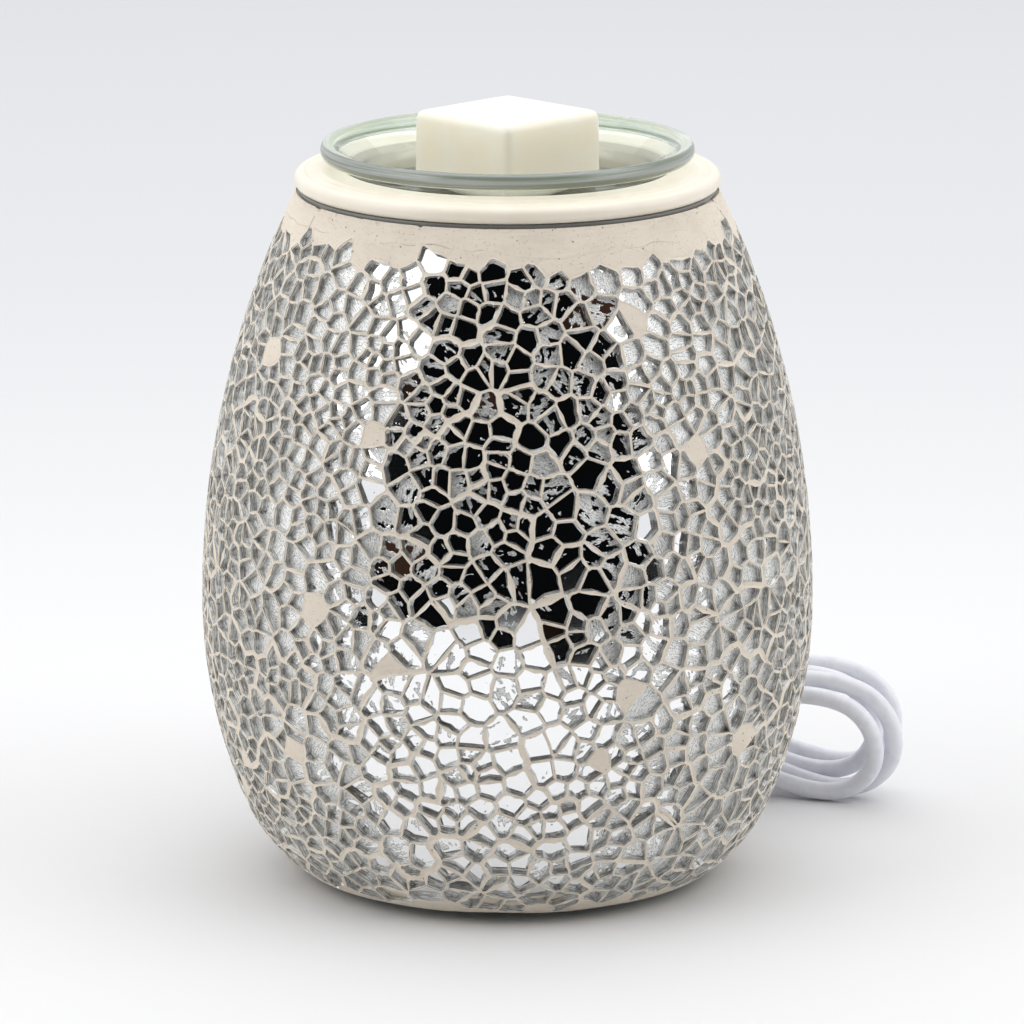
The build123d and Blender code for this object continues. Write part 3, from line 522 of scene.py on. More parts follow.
def moulded(
    name: str, colour: Triple, rough: float = 0.4, scale: float = 1.4, depth: float = 0.03
) -> Coating:
    """Moulded plastic or rubber with a fine grain.

    Args:
        name: the material's name.
        colour: its colour.
        rough: its middle roughness.
        scale: the grain's lumps per millimetre.
        depth: the grain's depth in millimetres.

    Returns:
        The finish.
    """
    return Coating(
        name,
        colour,
        second=tuple(0.9 * part for part in colour),
        cloud=Grain(0.07, 2.0),
        grain=Grain(scale, 3.0, 0.6),
        spread=(0.35, 0.7),
        share=0.5,
        rough=rough - 0.06,
        rough_by=(0.0, 0.12),
        depth=depth,
        strength=0.5,
    )


def plated(name: str, colour: Triple, rough: float = 0.32) -> Coating:
    """Plated or bare metal with fine brushing and faint stains.

    Args:
        name: the material's name.
        colour: its colour.
        rough: its middle roughness.

    Returns:
        The finish.
    """
    return Coating(
        name,
        colour,
        second=tuple(0.72 * part for part in colour),
        cloud=Grain(0.14),
        grain=Grain(0.8, axes=(0.6, 0.6, 6.0)),
        spread=(0.45, 0.75),
        share=0.5,
        rough=rough - 0.12,
        rough_by=(0.12, 0.16),
        depth=0.02,
        strength=0.4,
        sockets={"Metallic": 1.0},
    )


ENAMEL = Coating(
    "collar_enamel",
    colour=linear(244, 236, 220),
    second=linear(234, 223, 204),
    cloud=Grain(0.09),
    grain=Grain(0.9, 2.0),
    spread=(0.3, 0.75),
    share=0.6,
    rough=0.30,
    rough_by=(0.14, 0.0),
    depth=0.03,
    strength=0.35,
    sockets={"Coat_Weight": 0.25},
)
WAX = Coating(
    "wax",
    colour=linear(255, 242, 222),
    second=linear(255, 248, 234),
    cloud=Grain(0.10),
    grain=Grain(1.6, 2.0),
    spread=(0.4, 0.75),
    share=0.7,
    rough=0.36,
    rough_by=(0.0, 0.12),
    depth=0.25,
    strength=0.35,
    relief_by=(0.7, 0.2),
    sockets={
        "Subsurface_Weight": 0.6,
        "Subsurface_Radius": (1.0, 0.85, 0.7),
        "Subsurface_Scale": 0.008,
    },
)
CORD_SHEATH = Coating(
    "cord_sheath",
    colour=linear(236, 237, 243),
    second=linear(222, 224, 233),
    cloud=Grain(0.35),
    grain=Grain(2.2, 2.0),
    spread=(0.4, 0.7),
    share=0.6,
    rough=0.26,
    rough_by=(0.16, 0.0),
    depth=0.02,
    strength=0.4,
)


class Look(Enum):
    """The finishes, each built once."""

    GROUT = Plaster()
    MIRROR = SilverBack()
    EDGE = BrokenEdge()
    ENAMEL = ENAMEL
    BODY_GLASS = ClearGlass("body_glass", linear(214, 226, 220))
    DISH_GLASS = ClearGlass("dish_glass", linear(247, 252, 248), wave=0.05)
    RIM_GLASS = RimGlass()
    LAMP_GLASS = ClearGlass("lamp_glass", linear(246, 248, 248))
    WAX = WAX
    BEAD = moulded("bead_silicone", linear(128, 128, 124), 0.3)
    CAP = moulded("cap_plastic", linear(34, 34, 35), 0.5, 1.0, 0.06)
    FEET = moulded("foot_rubber", linear(48, 48, 48), 0.75)
    FOAM = moulded("gasket_foam", linear(66, 66, 66), 0.9, 1.2, 0.12)
    STEEL = plated("plated_steel", linear(200, 200, 198))
    BRASS = plated("contact_brass", linear(206, 180, 118), 0.26)
    CLAY = FiredClay("holder_ceramic", linear(236, 232, 222), 0.1)
    GLAZE = FiredClay("lamp_ceramic", linear(240, 238, 232), 0.8)
    REFLECTOR = plated("lamp_mirror", linear(232, 230, 226), 0.16)
    SHEATH = CORD_SHEATH
    WIRE = moulded("wire_sleeve", linear(228, 226, 218), 0.5)
    TIE = moulded("tie_plastic", linear(238, 238, 236), 0.45)


class Paintbox:
    """Builds each look at its first use and hands out its material."""

    def __init__(self) -> None:
        """Start with nothing built."""
        self.made: dict[Look, bpy.types.Material] = {}

    def get(self, look: Look) -> bpy.types.Material:
        """The material of a look."""
        if look not in self.made:
            self.made[look] = look.value.material()
        return self.made[look]


# Surfaces


def make_mesh(
    name: str, points: np.ndarray, faces: list[np.ndarray], smooth: bool = True
) -> bpy.types.Object:
    """Put points and faces into a new object at the origin.

    Args:
        name: the piece's name.
        points: an (n, 3) array in metres.
        faces: arrays of faces, each array with one number of corners.
        smooth: whether the faces are shaded smooth.

    Returns:
        The object, linked to the scene.
    """
    mesh = bpy.data.meshes.new(name)
    sizes = np.concatenate([np.full(len(group), group.shape[1]) for group in faces]).astype(np.int32)
    corners = np.concatenate([group.reshape(-1) for group in faces]).astype(np.int32)
    starts = np.concatenate([[0], np.cumsum(sizes)[:-1]]).astype(np.int32)
    mesh.vertices.add(len(points))
    mesh.vertices.foreach_set("co", points.astype(np.float32).reshape(-1))
    mesh.loops.add(len(corners))
    mesh.loops.foreach_set("vertex_index", corners)
    mesh.polygons.add(len(sizes))
    mesh.polygons.foreach_set("loop_start", starts)
    mesh.polygons.foreach_set("use_smooth", np.full(len(sizes), smooth))
    mesh.update(calc_edges=True)
    mesh.validate()
    piece = bpy.data.objects.new(name, mesh)
    bpy.context.scene.collection.objects.link(piece)
    return piece


def grid_faces(rows: int, columns: int, wrap_rows: bool = False, wrap_columns: bool = False) -> np.ndarray:
    """Quads of a grid of points numbered row by row.

    Args:
        rows: rows of points.
        columns: points of a row.
        wrap_rows: whether the last row joins the first.
        wrap_columns: whether each row is a ring.

    Returns:
        The (n, 4) corners of the quads.
    """
    row = np.arange(rows if wrap_rows else rows - 1)[:, None]
    column = np.arange(columns if wrap_columns else columns - 1)[None, :]
    row_next, column_next = (row + 1) % rows, (column + 1) % columns
    ways = ((row, column), (row, column_next), (row_next, column_next), (row_next, column))
    return np.stack([r * columns + c for r, c in ways], -1).reshape(-1, 4)


def ring_faces(inner: np.ndarray, outer: np.ndarray) -> np.ndarray:
    """Quads between two rings of points, from the numbers of each ring's points in order."""
    return np.stack([inner, outer, np.roll(outer, -1), np.roll(inner, -1)], -1)[:, ::-1]


def turned_to(way: np.ndarray) -> float:
    """The angle of a flat direction."""
    return float(np.arctan2(way[1], way[0]))


def least_turn(angle: float) -> float:
    """The same turn between half a turn back and half a turn ahead."""
    return (angle + np.pi) % FULL_TURN - np.pi


def circle_points(centre: np.ndarray, radius: float, start: float, sweep: float, steps: int) -> np.ndarray:
    """Points of an arc: its centre plus its radius times the cosine and sine of evenly spaced angles."""
    turn = start + sweep * np.linspace(0, 1, steps + 1)
    return centre + radius * np.stack([np.cos(turn), np.sin(turn)], -1)


def rounded(points: list[Pair], radii: list[float], steps: int = 8) -> np.ndarray:
    """A polyline whose inner corners are replaced by tangent arcs.

    Each arc's centre lies on the corner's bisector, at the radius over the sine of half the corner's angle.

    Args:
        points: the polyline, in millimetres.
        radii: one radius for each inner corner.
        steps: segments of each arc.

    Returns:
        The points of the rounded line.
    """
    line = [np.array(points[0])]
    for before, corner, after, radius in zip(points, points[1:], points[2:], radii):
        corner = np.array(corner, float)
        back, ahead = np.array(before) - corner, np.array(after) - corner
        back, ahead = back / np.hypot(*back), ahead / np.hypot(*ahead)
        half = np.arccos(np.clip(back @ ahead, -1, 1)) / 2
        centre = corner + (back + ahead) / np.hypot(*(back + ahead)) * radius / np.sin(half)
        start = turned_to(corner + back * radius / np.tan(half) - centre)
        end = turned_to(corner + ahead * radius / np.tan(half) - centre)
        line.extend(circle_points(centre, radius, start, least_turn(end - start), steps))
    line.append(np.array(points[-1]))
    return np.array(line, float)


def arc_through(start: Pair, middle: Pair, end: Pair, steps: int) -> np.ndarray:
    """Points of the circle arc through three points.

    The centre is as far from each of the three, which gives two linear equations for its two coordinates.

    Args:
        start: the first point, in millimetres.
        middle: a point between.
        end: the last point.
        steps: segments of the arc.

    Returns:
        The points of the arc.
    """
    a, b, c = (np.array(p, float) for p in (start, middle, end))
    centre = np.linalg.solve(2 * np.array([b - a, c - a]), np.array([b @ b - a @ a, c @ c - a @ a]))
    angles = [turned_to(p - centre) for p in (a, b, c)]
    sweep = least_turn(angles[1] - angles[0]) + least_turn(angles[2] - angles[1])
    return circle_points(centre, np.hypot(*(a - centre)), angles[0], sweep, steps)


def turned(name: str, profile: np.ndarray, segments: int = 224) -> bpy.types.Object:
    """A closed surface of revolution about Z.

    Every profile point (r, z) goes round a circle. A profile that starts and ends on the axis gets a pole at
    each end, and any other is closed on itself.

    Args:
        name: the piece's name.
        profile: points (r, z) in millimetres, running anticlockwise in the (r, z) plane.
        segments: points of each circle.

    Returns:
        The object.
    """
    keep = np.ones(len(profile), bool)
    keep[1:] = np.hypot(*np.diff(profile, axis=0).T) > TINY
    profile = profile[keep]
    turn = np.linspace(0, FULL_TURN, segments, endpoint=False)
    poles = profile[0, 0] < TINY and profile[-1, 0] < TINY
    loop = profile[1:-1] if poles else profile
    if not poles and np.hypot(*(loop[0] - loop[-1])) < TINY:
        loop = loop[:-1]
    radius, height = loop[:, :1], np.broadcast_to(loop[:, 1:], (len(loop), segments))
    points = np.stack([radius * np.cos(turn), radius * np.sin(turn), height], -1).reshape(-1, 3)
    faces = [grid_faces(len(loop), segments, not poles, True)]
    if poles:
        first, last = len(points), len(points) + 1
        here = np.arange(segments)
        after = np.roll(here, -1)
        base = (len(loop) - 1) * segments
        faces.append(np.stack([np.full(segments, first), after, here], -1))
        faces.append(np.stack([np.full(segments, last), base + here, base + after], -1))
        points = np.concatenate([points, [[0, 0, profile[0, 1]], [0, 0, profile[-1, 1]]]])
    return make_mesh(name, points * MM, faces)


def soften(piece: bpy.types.Object, degrees: float = 50.0) -> None:
    """Keep edges sharper than an angle as edges in a smooth-shaded piece."""
    piece.data.set_sharp_from_angle(angle=np.radians(degrees))


def dress(piece: bpy.types.Object, *materials: bpy.types.Material) -> None:
    """Give a new piece its materials."""
    for material in materials:
        piece.data.materials.append(material)


# The camera, the floor and the light


@dataclass(frozen=True)
class SoftBox:
    """An area light: its place, the height on the axis that it faces, its size in metres and its watts."""

    name: str
    place: Triple
    aim_z: float
    size: Pair
    watts: float
    in_mirrors: bool = True

    def build(self) -> None:
        """Place the light and turn it to its aim."""
        light = bpy.data.lights.new(self.name, "AREA")
        light.shape = "RECTANGLE"
        light.size, light.size_y = self.size
        light.energy = self.watts
        holder = bpy.data.objects.new(self.name, light)
        holder.location = self.place
        way = np.array([0.0, 0.0, self.aim_z]) - np.array(self.place)
        flat = float(np.hypot(way[0], way[1]))
        holder.rotation_euler = (np.arctan2(flat, -way[2]), 0.0, turned_to(way) - np.pi / 2)
        holder.visible_glossy = self.in_mirrors
        bpy.context.scene.collection.objects.link(holder)


@dataclass
class Studio:
    """Camera, floor, backdrop and light. The camera looks along +Y from in front of the object."""

    distance: float = 1503.0
    height: float = 444.0
    pitch_deg: float = 13.45
    focal_px: float = 6665.8
    middle_px: float = 507.5
    sensor: float = 36.0
    clip: Pair = (0.05, 50.0)
    floor_y: Pair = (-0.40, 6.0)
    floor_half: float = 6.0
    floor_z: float = -0.0002
    shade_fade_y: Pair = (-0.10, 0.80)
    # The paper darkens away from the camera: a painted fall-off of the light.
    paper_near: Triple = linear(229, 229, 229)
    paper_far_shade: Triple = linear(212, 213, 215)
    card_turn: Pair = (-50.0, 57.0)
    card_rise: Pair = (-10.5, 46.0)
    card_cells: tuple[int, int] = (32, 48)
    card_reach: float = 3.2
    card_z: float = 0.09
    card_dark: Triple = linear(8, 9, 10)
    card_warm: Triple = linear(58, 40, 32)
    card_patch: Grain = Grain(1.3, 1.5, axes=(MM, MM, MM))
    patch_edge: Pair = (0.60, 0.68)
    inside_glass: Pair = (0.2, 0.8)
    surround: Triple = linear(239, 239, 241)
    surround_level: float = 0.93
    backdrop: Triple = linear(238, 239, 241)
    boxes: tuple[SoftBox, ...] = (
        SoftBox("left_box", (-1.7, -0.7, 1.0), 0.08, (1.8, 1.8), 12.5),
        SoftBox("right_box", (1.8, -0.5, 1.1), 0.08, (1.8, 1.8), 12.0),
        SoftBox("top_box", (0.0, 0.45, 1.8), 0.0, (2.6, 2.6), 17.0),
        SoftBox("fill_box", (0.0, -1.05, 1.7), 0.1, (2.6, 0.8), 7.5, in_mirrors=False),
    )

    def camera(self) -> None:
        """Place the camera that took the photograph."""
        lens = bpy.data.cameras.new("camera")
        lens.sensor_width = self.sensor
        lens.lens = self.focal_px / PHOTO_PX * self.sensor
        lens.shift_x = (PHOTO_PX / 2 - self.middle_px) / PHOTO_PX
        lens.clip_start, lens.clip_end = self.clip
        camera = bpy.data.objects.new("camera", lens)
        camera.location = (0.0, -self.distance * MM, self.height * MM)
        camera.rotation_euler = (np.radians(90 - self.pitch_deg), 0.0, 0.0)
        bpy.context.scene.collection.objects.link(camera)
        bpy.context.scene.camera = camera

    def floor(self) -> bpy.types.Object:
        """A wide pale floor that keeps the object's shadow; it ends in front of the object like a table, and
        is painted darker further back as a painted fall-off of the light.
        """
        (near, far), half, low = self.floor_y, self.floor_half, self.floor_z
        corners = np.array([(-half, near, low), (half, near, low), (half, far, low), (-half, far, low)])
        floor = make_mesh("floor", corners, [np.arange(4)[None]], smooth=False)
        paint = Paint("floor_paper")
        away = paint.add("ShaderNodeSeparateXYZ", {}, {"Vector": paint.space()}, "Y")
        # Painted shade: the paper turns darker with distance, standing in for the light's fall-off.
        tone = paint.blend(away.step(*self.shade_fade_y), self.paper_near, self.paper_far_shade)
        dress(floor, paint.finish(Base_Color=tone, Roughness=1.0, Specular_IOR_Level=0.0))
        return floor

    def dark_card(self) -> bpy.types.Object:
        """A curved dark card round the camera, which mirrors see, but neither the camera nor clear glass.

        It is a patch of a sphere: its reach times the cosines and sines of the angles round and up.

        Returns:
            The card.
        """
        rows, columns = self.card_cells
        azimuth = np.radians(np.linspace(*self.card_turn, columns))[None, :]
        rise = np.radians(np.linspace(*self.card_rise, rows))[:, None]
        flat, up = self.card_reach * np.cos(rise), self.card_reach * np.sin(rise)
        high = self.card_z + up * np.ones_like(azimuth)
        points = np.stack([flat * np.sin(azimuth), -flat * np.cos(azimuth), high], -1)
        card = make_mesh("dark_card", points.reshape(-1, 3), [grid_faces(rows, columns)])
        paint = Paint("dark_room")
        patch = paint.noise(self.card_patch).step(*self.patch_edge)
        tone = paint.blend(patch, self.card_dark, self.card_warm)
        dark = paint.add("ShaderNodeEmission", {}, {"Color": tone, "Strength": 1.0})
        clear = paint.add("ShaderNodeBsdfTransparent", {}, {})
        outside = 1.0 - paint.ray("Transmission Depth").step(*self.inside_glass)
        dim = paint.ray("Is Diffuse Ray") + paint.ray("Is Shadow Ray")
        seen = (paint.ray("Is Glossy Ray") * outside + dim).clamped()
        mixed = paint.add("ShaderNodeMixShader", {}, {0: seen, 1: clear, 2: dark})
        output = next(node for node in paint.nodes if node.type == "OUTPUT_MATERIAL")
        paint.plug(output.inputs["Surface"], mixed)
        dress(card, paint.material)
        card.visible_camera = False
        return card

    def world(self) -> None:
        """A pale even surround: the camera, mirrors and glass see it as the photograph's backdrop."""
        world = bpy.data.worlds.new("surround")
        world.use_nodes = True
        tree = Tree(world.node_tree)
        tree.nodes.clear()
        soft = tree.add("ShaderNodeBackground", {}, {"Color": self.surround, "Strength": self.surround_level})
        shown = tree.add("ShaderNodeBackground", {}, {"Color": self.backdrop})
        camera, mirror, glass = (tree.ray(f"Is {kind} Ray") for kind in ("Camera", "Glossy", "Transmission"))
        seen = camera.larger(mirror).larger(glass)
        mixed = tree.add("ShaderNodeMixShader", {}, {0: seen, 1: soft, 2: shown})
        tree.plug(tree.nodes.new("ShaderNodeOutputWorld").inputs["Surface"], mixed)
        bpy.context.scene.world = world

    def build(self) -> list[bpy.types.Object]:
        """Everything round the object, once the camera stands: floor, dark card, surround and soft boxes."""
        pieces = [self.floor(), self.dark_card()]
        self.world()
        for box in self.boxes:
            box.build()
        bpy.context.scene.view_settings.view_transform = "Standard"
        return pieces


# The body


@dataclass
class BodyShape:
    """Outline of the body: three tangent arcs, from the foot over the belly to the neck."""

    belly_r: float = 71.0
    belly_z: float = 64.3
    neck_arc: float = 220.0
    flank_arc: float = 120.0
    heel_arc: float = 36.4
    heel_z: float = 18.0
    lip_z: float = 160.8
    slope_step: float = 0.05

    def radius(self, z: np.ndarray, inset: float = 0.0) -> np.ndarray:
        """Radius of the outline at a height.

        Each arc is its centre's distance from the axis plus the root of its own radius squared less the
        height from its centre squared, and the three meet where their tangents agree.

        Args:
            z: heights in millimetres.
            inset: how far inside the outline.

        Returns:
            Radii in millimetres.
        """
        z = np.asarray(z, float)
        turn = np.arcsin((self.belly_z - self.heel_z) / self.flank_arc)
        step = self.flank_arc - self.heel_arc
        centre_r = self.belly_r - self.flank_arc + step * np.cos(turn)
        centre_z = self.belly_z - step * np.sin(turn)
        joint_z = self.belly_z - (self.flank_arc - inset) * np.sin(turn)
        rise = (z - self.belly_z) ** 2
        neck = self.belly_r - self.neck_arc + np.sqrt(np.maximum((self.neck_arc - inset) ** 2 - rise, 0))
        flank = self.belly_r - self.flank_arc + np.sqrt(np.maximum((self.flank_arc - inset) ** 2 - rise, 0))
        heel = centre_r + np.sqrt(np.maximum((self.heel_arc - inset) ** 2 - (z - centre_z) ** 2, 0))
        return np.where(z >= self.belly_z, neck, np.where(z >= joint_z, flank, heel))

    def frame_at(self, turn: np.ndarray, z: np.ndarray) -> tuple[np.ndarray, ...]:
        """Point, sideways tangent, upward tangent and outward normal of the outline's surface.

        The upward tangent follows the outline's slope, and the normal is the cross product of the tangents.

        Args:
            turn: angles about Z in radians.
            z: heights in millimetres.

        Returns:
            Four (n, 3) arrays, the point in millimetres.
        """
        radius, step = self.radius(z), self.slope_step
        slope = (self.radius(z + step) - self.radius(z - step)) / (2 * step)
        c, s, o = np.cos(turn), np.sin(turn), np.zeros_like(turn)
        point = np.stack([radius * c, radius * s, z], -1)
        side = np.stack([-s, c, o], -1)
        rise = np.stack([slope * c, slope * s, np.ones_like(turn)], -1)
        rise /= np.linalg.norm(rise, axis=-1, keepdims=True)
        return point, side, rise, np.cross(side, rise)


@dataclass(frozen=True)
class Ripple:
    """A wavy line round the body, up to about its height above and below zero.

    It is a sum of sine waves, of which the slowest goes up and down `first` times on its way round. The seed
    gives each its phase and its strength, which fades with the root of its number.
    """

    high: float
    seed: int
    waves: int = 9
    first: int = 2
    strengths: Pair = (0.5, 1.0)
    gain: float = 1.6

    def at(self, turn: np.ndarray) -> np.ndarray:
        """The line's height.

        Args:
            turn: angles in radians.

        Returns:
            The height at each angle.
        """
        rng = np.random.default_rng(self.seed)
        count = np.arange(self.first, self.first + self.waves)
        phase = rng.uniform(0, FULL_TURN, self.waves)
        strength = rng.uniform(*self.strengths, self.waves) / np.sqrt(count)
        total = (strength * np.sin(np.asarray(turn)[..., None] * count + phase)).sum(-1)
        return self.high * (total / strength.sum() * self.gain)


@dataclass
class Patch:
    """Faces of small patches: corners (1 or m, f, c) numbered in a patch, map places and material slot."""

    corners: np.ndarray
    maps: np.ndarray | None = None
    slot: int = 0


class Heap:
    """Points and faces of many small patches, gathered for one mesh."""

    def __init__(self) -> None:
        """Start empty."""
        self.points: list[np.ndarray] = []
        self.faces: list[np.ndarray] = []
        self.maps: list[np.ndarray] = []
        self.slots: list[np.ndarray] = []
        self.marks: list[np.ndarray] = []
        self.total = 0

    def add(self, points: np.ndarray, *groups: Patch, marks: np.ndarray | None = None) -> None:
        """Add patches.

        Args:
            points: (m, p, 3) points of m patches, in millimetres.
            groups: their faces.
            marks: (m, p) numbers of the points, if the mesh carries them.
        """
        start = self.total + np.arange(len(points))[:, None, None] * points.shape[1]
        self.points.append(points.reshape(-1, 3))
        self.total += points.shape[0] * points.shape[1]
        if marks is not None:
            self.marks.append(marks.reshape(-1))
        for group in groups:
            faces = (group.corners + start).reshape(-1, group.corners.shape[-1])
            self.faces.append(faces)
            self.slots.append(np.full(len(faces), group.slot))
            if group.maps is not None:
                self.maps.append(group.maps.reshape(-1, 2))

    def build(self, name: str, smooth: bool) -> bpy.types.Object:
        """Make the mesh, with its map and its marks.

        Args:
            name: the piece's name.
            smooth: whether it is shaded smooth.

        Returns:
            The piece.
        """
        piece = make_mesh(name, np.concatenate(self.points) * MM, self.faces, smooth)
        mesh = piece.data
        mesh.polygons.foreach_set("material_index", np.concatenate(self.slots).astype(np.int32))
        if self.maps:
            layer = mesh.uv_layers.new(name="chip")
            layer.data.foreach_set("uv", np.concatenate(self.maps).astype(np.float32).reshape(-1))
        if self.marks:
            layer = mesh.attributes.new("crackle", "FLOAT", "POINT")
            layer.data.foreach_set("value", np.concatenate(self.marks).astype(np.float32))
        return piece


@dataclass
class Cells:
    """The mosaic's cells as arrays: place, edge lines, corners, and whether each holds a chip."""

    turn: np.ndarray
    z: np.ndarray
    normal: np.ndarray
    middle: np.ndarray
    corner: np.ndarray
    chip: np.ndarray

    def pick(self, mask: np.ndarray) -> "Cells":
        """The cells that a mask names."""
        return Cells(*(part[mask] for part in vars(self).values()))


@dataclass
class Mosaic:
    """About three thousand silvered glass chips, set in grout on the outline of the body.

    Each chip is a shallow recess: a flat mirror at the depth where the silvered back of the glass seems to
    lie, and broken edges that slope up from it to the level of the grout. Lengths are in millimetres, and a
    pair is the least and the most of a random draw unless its heading says otherwise.
    """

    shape: BodyShape
    seed: int = 11
    table: int = 800
    low_z: float = 1.2
    top_z: float = 158.0
    foot_z: float = 2.3
    foot_bare: float = 1.3
    foot_waves: tuple[Ripple, ...] = (Ripple(0.4, 42, 12, 3), Ripple(0.12, 43, 50, 30))
    edge_z: float = 153.2
    edge_waves: tuple[Ripple, ...] = (Ripple(1.5, 3, 7), Ripple(0.9, 4, 24, 12))
    under_share: float = 0.02
    sectors: int = 4
    lost: float = 0.008
    least_area: float = 2.2
    # The large shards that the chips broke from, and the lattice of chips in each.
    shard: float = 14.5
    shard_row: float = 0.88
    shard_aside: float = 0.33
    shard_up: float = 0.3
    shards_round: int = 8
    chip: float = 4.55
    reach: int = 4
    size: Pair = (0.80, 1.28)
    long: Pair = (1.0, 1.35)
    narrow: Pair = (0.72, 0.98)
    jitter: float = 0.34
    least: float = 2.1
    front_grow: float = 0.18
    front_low: float = 1.3
    front_high: float = 100.0
    # The joints between chips of one shard and between shards.
    neighbours: int = 15
    thin: float = 0.12
    thin_vary: Pair = (0.75, 0.5)
    wide: float = 0.62
    wide_vary: Pair = (0.12, 0.88)
    wide_level: float = 0.72
    wide_low: float = 0.42
    wide_low_z: float = 150.0
    wide_wave: Ripple = Ripple(0.22, 8, 5)
    bound: float = 6.2
    bound_turn: float = 0.2
    bound_joint: float = 0.5
    # The broken outline, the grout's slope and the sunken mirror.
    cut: Pair = (0.05, 1.0)
    cut_power: float = 2.2
    cut_most: float = 0.9
    cut_share: float = 0.42
    bow: Pair = (-0.10, 0.05)
    loop_margin: float = 0.5
    outer_margin: float = 0.06
    outer_least: float = 0.1
    sunk_joint: float = 0.34
    brim: float = 0.05
    brim_chip: float = 0.10
    brim_point: float = 0.05
    blank_brim: float = 0.22
    depth: float = 1.6
    depth_vary: Pair = (-0.15, 0.1)
    slant: float = 0.30
    slant_vary: Pair = (0.5, 1.5)
    least_share: float = 0.45
    shift: float = 0.14
    tilt_deg: float = 1.7
    map_room: float = 300.0
    # How crazed the chips are: more at the sides, less at the back and low down; the rise towards the sides,
    # as seen from the front, is partly painted grazing reflection. Pairs are a start and a run.
    crazed: float = 0.37
    side_crazing_and_reflection: float = 0.37
    side_deg: Pair = (16.0, 28.0)
    crazed_back: float = 0.12
    back_deg: Pair = (110.0, 30.0)
    crazed_vary: float = 0.12
    crazed_wave: Ripple = Ripple(0.08, 21, 9)
    crazed_low: float = 0.10
    crazed_low_z: float = 70.0
    crazed_least: float = 0.1

    def __post_init__(self) -> None:
        """Tabulate arc length along the outline and start the random draws."""
        self.rng = np.random.default_rng(self.seed)
        self.z_table = np.linspace(0.0, self.shape.lip_z, self.table)
        steps = np.hypot(np.diff(self.shape.radius(self.z_table)), np.diff(self.z_table))
        self.s_table = np.concatenate([[0.0], np.cumsum(steps)])

    def z_at(self, run: np.ndarray) -> np.ndarray:
        """Height at an arc length along the outline."""
        return np.interp(run, self.s_table, self.z_table)

    def run_at(self, z: np.ndarray) -> np.ndarray:
        """Arc length along the outline at a height."""
        return np.interp(z, self.z_table, self.s_table)

    def top_edge(self, turn: np.ndarray) -> np.ndarray:
        """Height where the chips stop under the bare band: a level plus slow and quick ripples."""
        slow, quick = self.edge_waves
        return self.edge_z + slow.at(turn) + quick.at(turn)

    def foot_edge(self, turn: np.ndarray) -> np.ndarray:
        """Height of the grout's lower rim: a level plus slow and quick ripples."""
        slow, quick = self.foot_waves
        return self.foot_z + slow.at(turn) + quick.at(turn)

    def trimmed(self, turn: np.ndarray, z: np.ndarray, flat: np.ndarray, margin: float) -> np.ndarray:
        """Points of tangent planes, those under the foot's edge plus a margin brought up to just below it.

        Args:
            turn: angles of the planes.
            z: their heights.
            flat: (m, n, 2) points on them.
            margin: height over the foot's edge.

        Returns:
            The points, of which a low one keeps a small share of its way under the edge.
        """
        angle = turn[:, None] + flat[..., 0] / self.shape.radius(z)[:, None]
        low = self.run_at(self.foot_edge(angle) + margin) - self.run_at(z)[:, None]
        rise = np.where(flat[..., 1] < low, low + self.under_share * (flat[..., 1] - low), flat[..., 1])
        return np.stack([flat[..., 0], rise], -1)

    def shards(self) -> tuple[np.ndarray, np.ndarray]:
        """Centres of the shards that the chips broke from, in rows round the body: angles, arc lengths."""
        low, top = self.run_at([self.low_z, self.top_z])
        aside, up = self.shard_aside, self.shard_up
        turns, runs = [], []
        for run in np.arange(low, top + self.shard, self.shard * self.shard_row):
            round_body = FULL_TURN * float(self.shape.radius(self.z_at(run)))
            count = max(self.shards_round, int(round(round_body / self.shard)))
            start = self.rng.uniform()
            turns.append((np.arange(count) + start + self.rng.uniform(-aside, aside, count)) / count)
            runs.append(run + self.rng.uniform(-up, up, count) * self.shard)
        return np.concatenate(turns) * FULL_TURN, np.concatenate(runs)

    def seeds(self) -> tuple[np.ndarray, np.ndarray, np.ndarray]:
        """Centres of the chips.

        Every shard carries a jittered lattice with its own pitch and direction, of which it keeps the points
        that lie nearer to its centre than to any other shard's. Shards low down at the front are larger.

        Returns:
            Angles, heights and shard numbers.
        """
        turn0, run0 = self.shards()
        shards = len(turn0)
        places = np.arange(-self.reach, self.reach + 1)
        i, j = (grid.reshape(1, -1) for grid in np.meshgrid(places, places))
        low = np.clip(self.front_low - self.z_at(run0) / self.front_high, 0, 1)
        facing = np.clip(-np.sin(turn0), 0, 1) ** 2 * low
        size = self.chip * self.rng.uniform(*self.size, (shards, 1)) * (1 + self.front_grow * facing[:, None])
        pitch = size * self.rng.uniform(*self.long, (shards, 1))
        narrow = size * self.rng.uniform(*self.narrow, (shards, 1))
        shape = (shards, i.size)
        across = (i + 0.5 * (j % 2) + self.rng.uniform(-self.jitter, self.jitter, shape)) * pitch
        along = (j + self.rng.uniform(-self.jitter, self.jitter, shape)) * narrow
        lean = self.rng.uniform(0, np.pi, (shards, 1))
        x = across * np.cos(lean) - along * np.sin(lean)
        y = across * np.sin(lean) + along * np.cos(lean)
        run = run0[:, None] + y
        z = self.z_at(run)
        turn = turn0[:, None] + x / self.shape.radius(z)
        own = np.broadcast_to(np.arange(shards)[:, None], shape)
        keep = (run > self.s_table[0]) & (run < self.s_table[-1]) & (z > self.low_z) & (z < self.top_z)
        turn, z, own = turn[keep], z[keep], own[keep]
        place = self.shape.frame_at(turn, z)[0].astype(np.float32)
        centre = self.shape.frame_at(turn0, self.z_at(run0))[0].astype(np.float32)
        gap = (centre**2).sum(-1)[None] - 2 * place @ centre.T
        mine = gap.argmin(1) == own
        turn, z, own, place = turn[mine], z[mine], own[mine], place[mine]
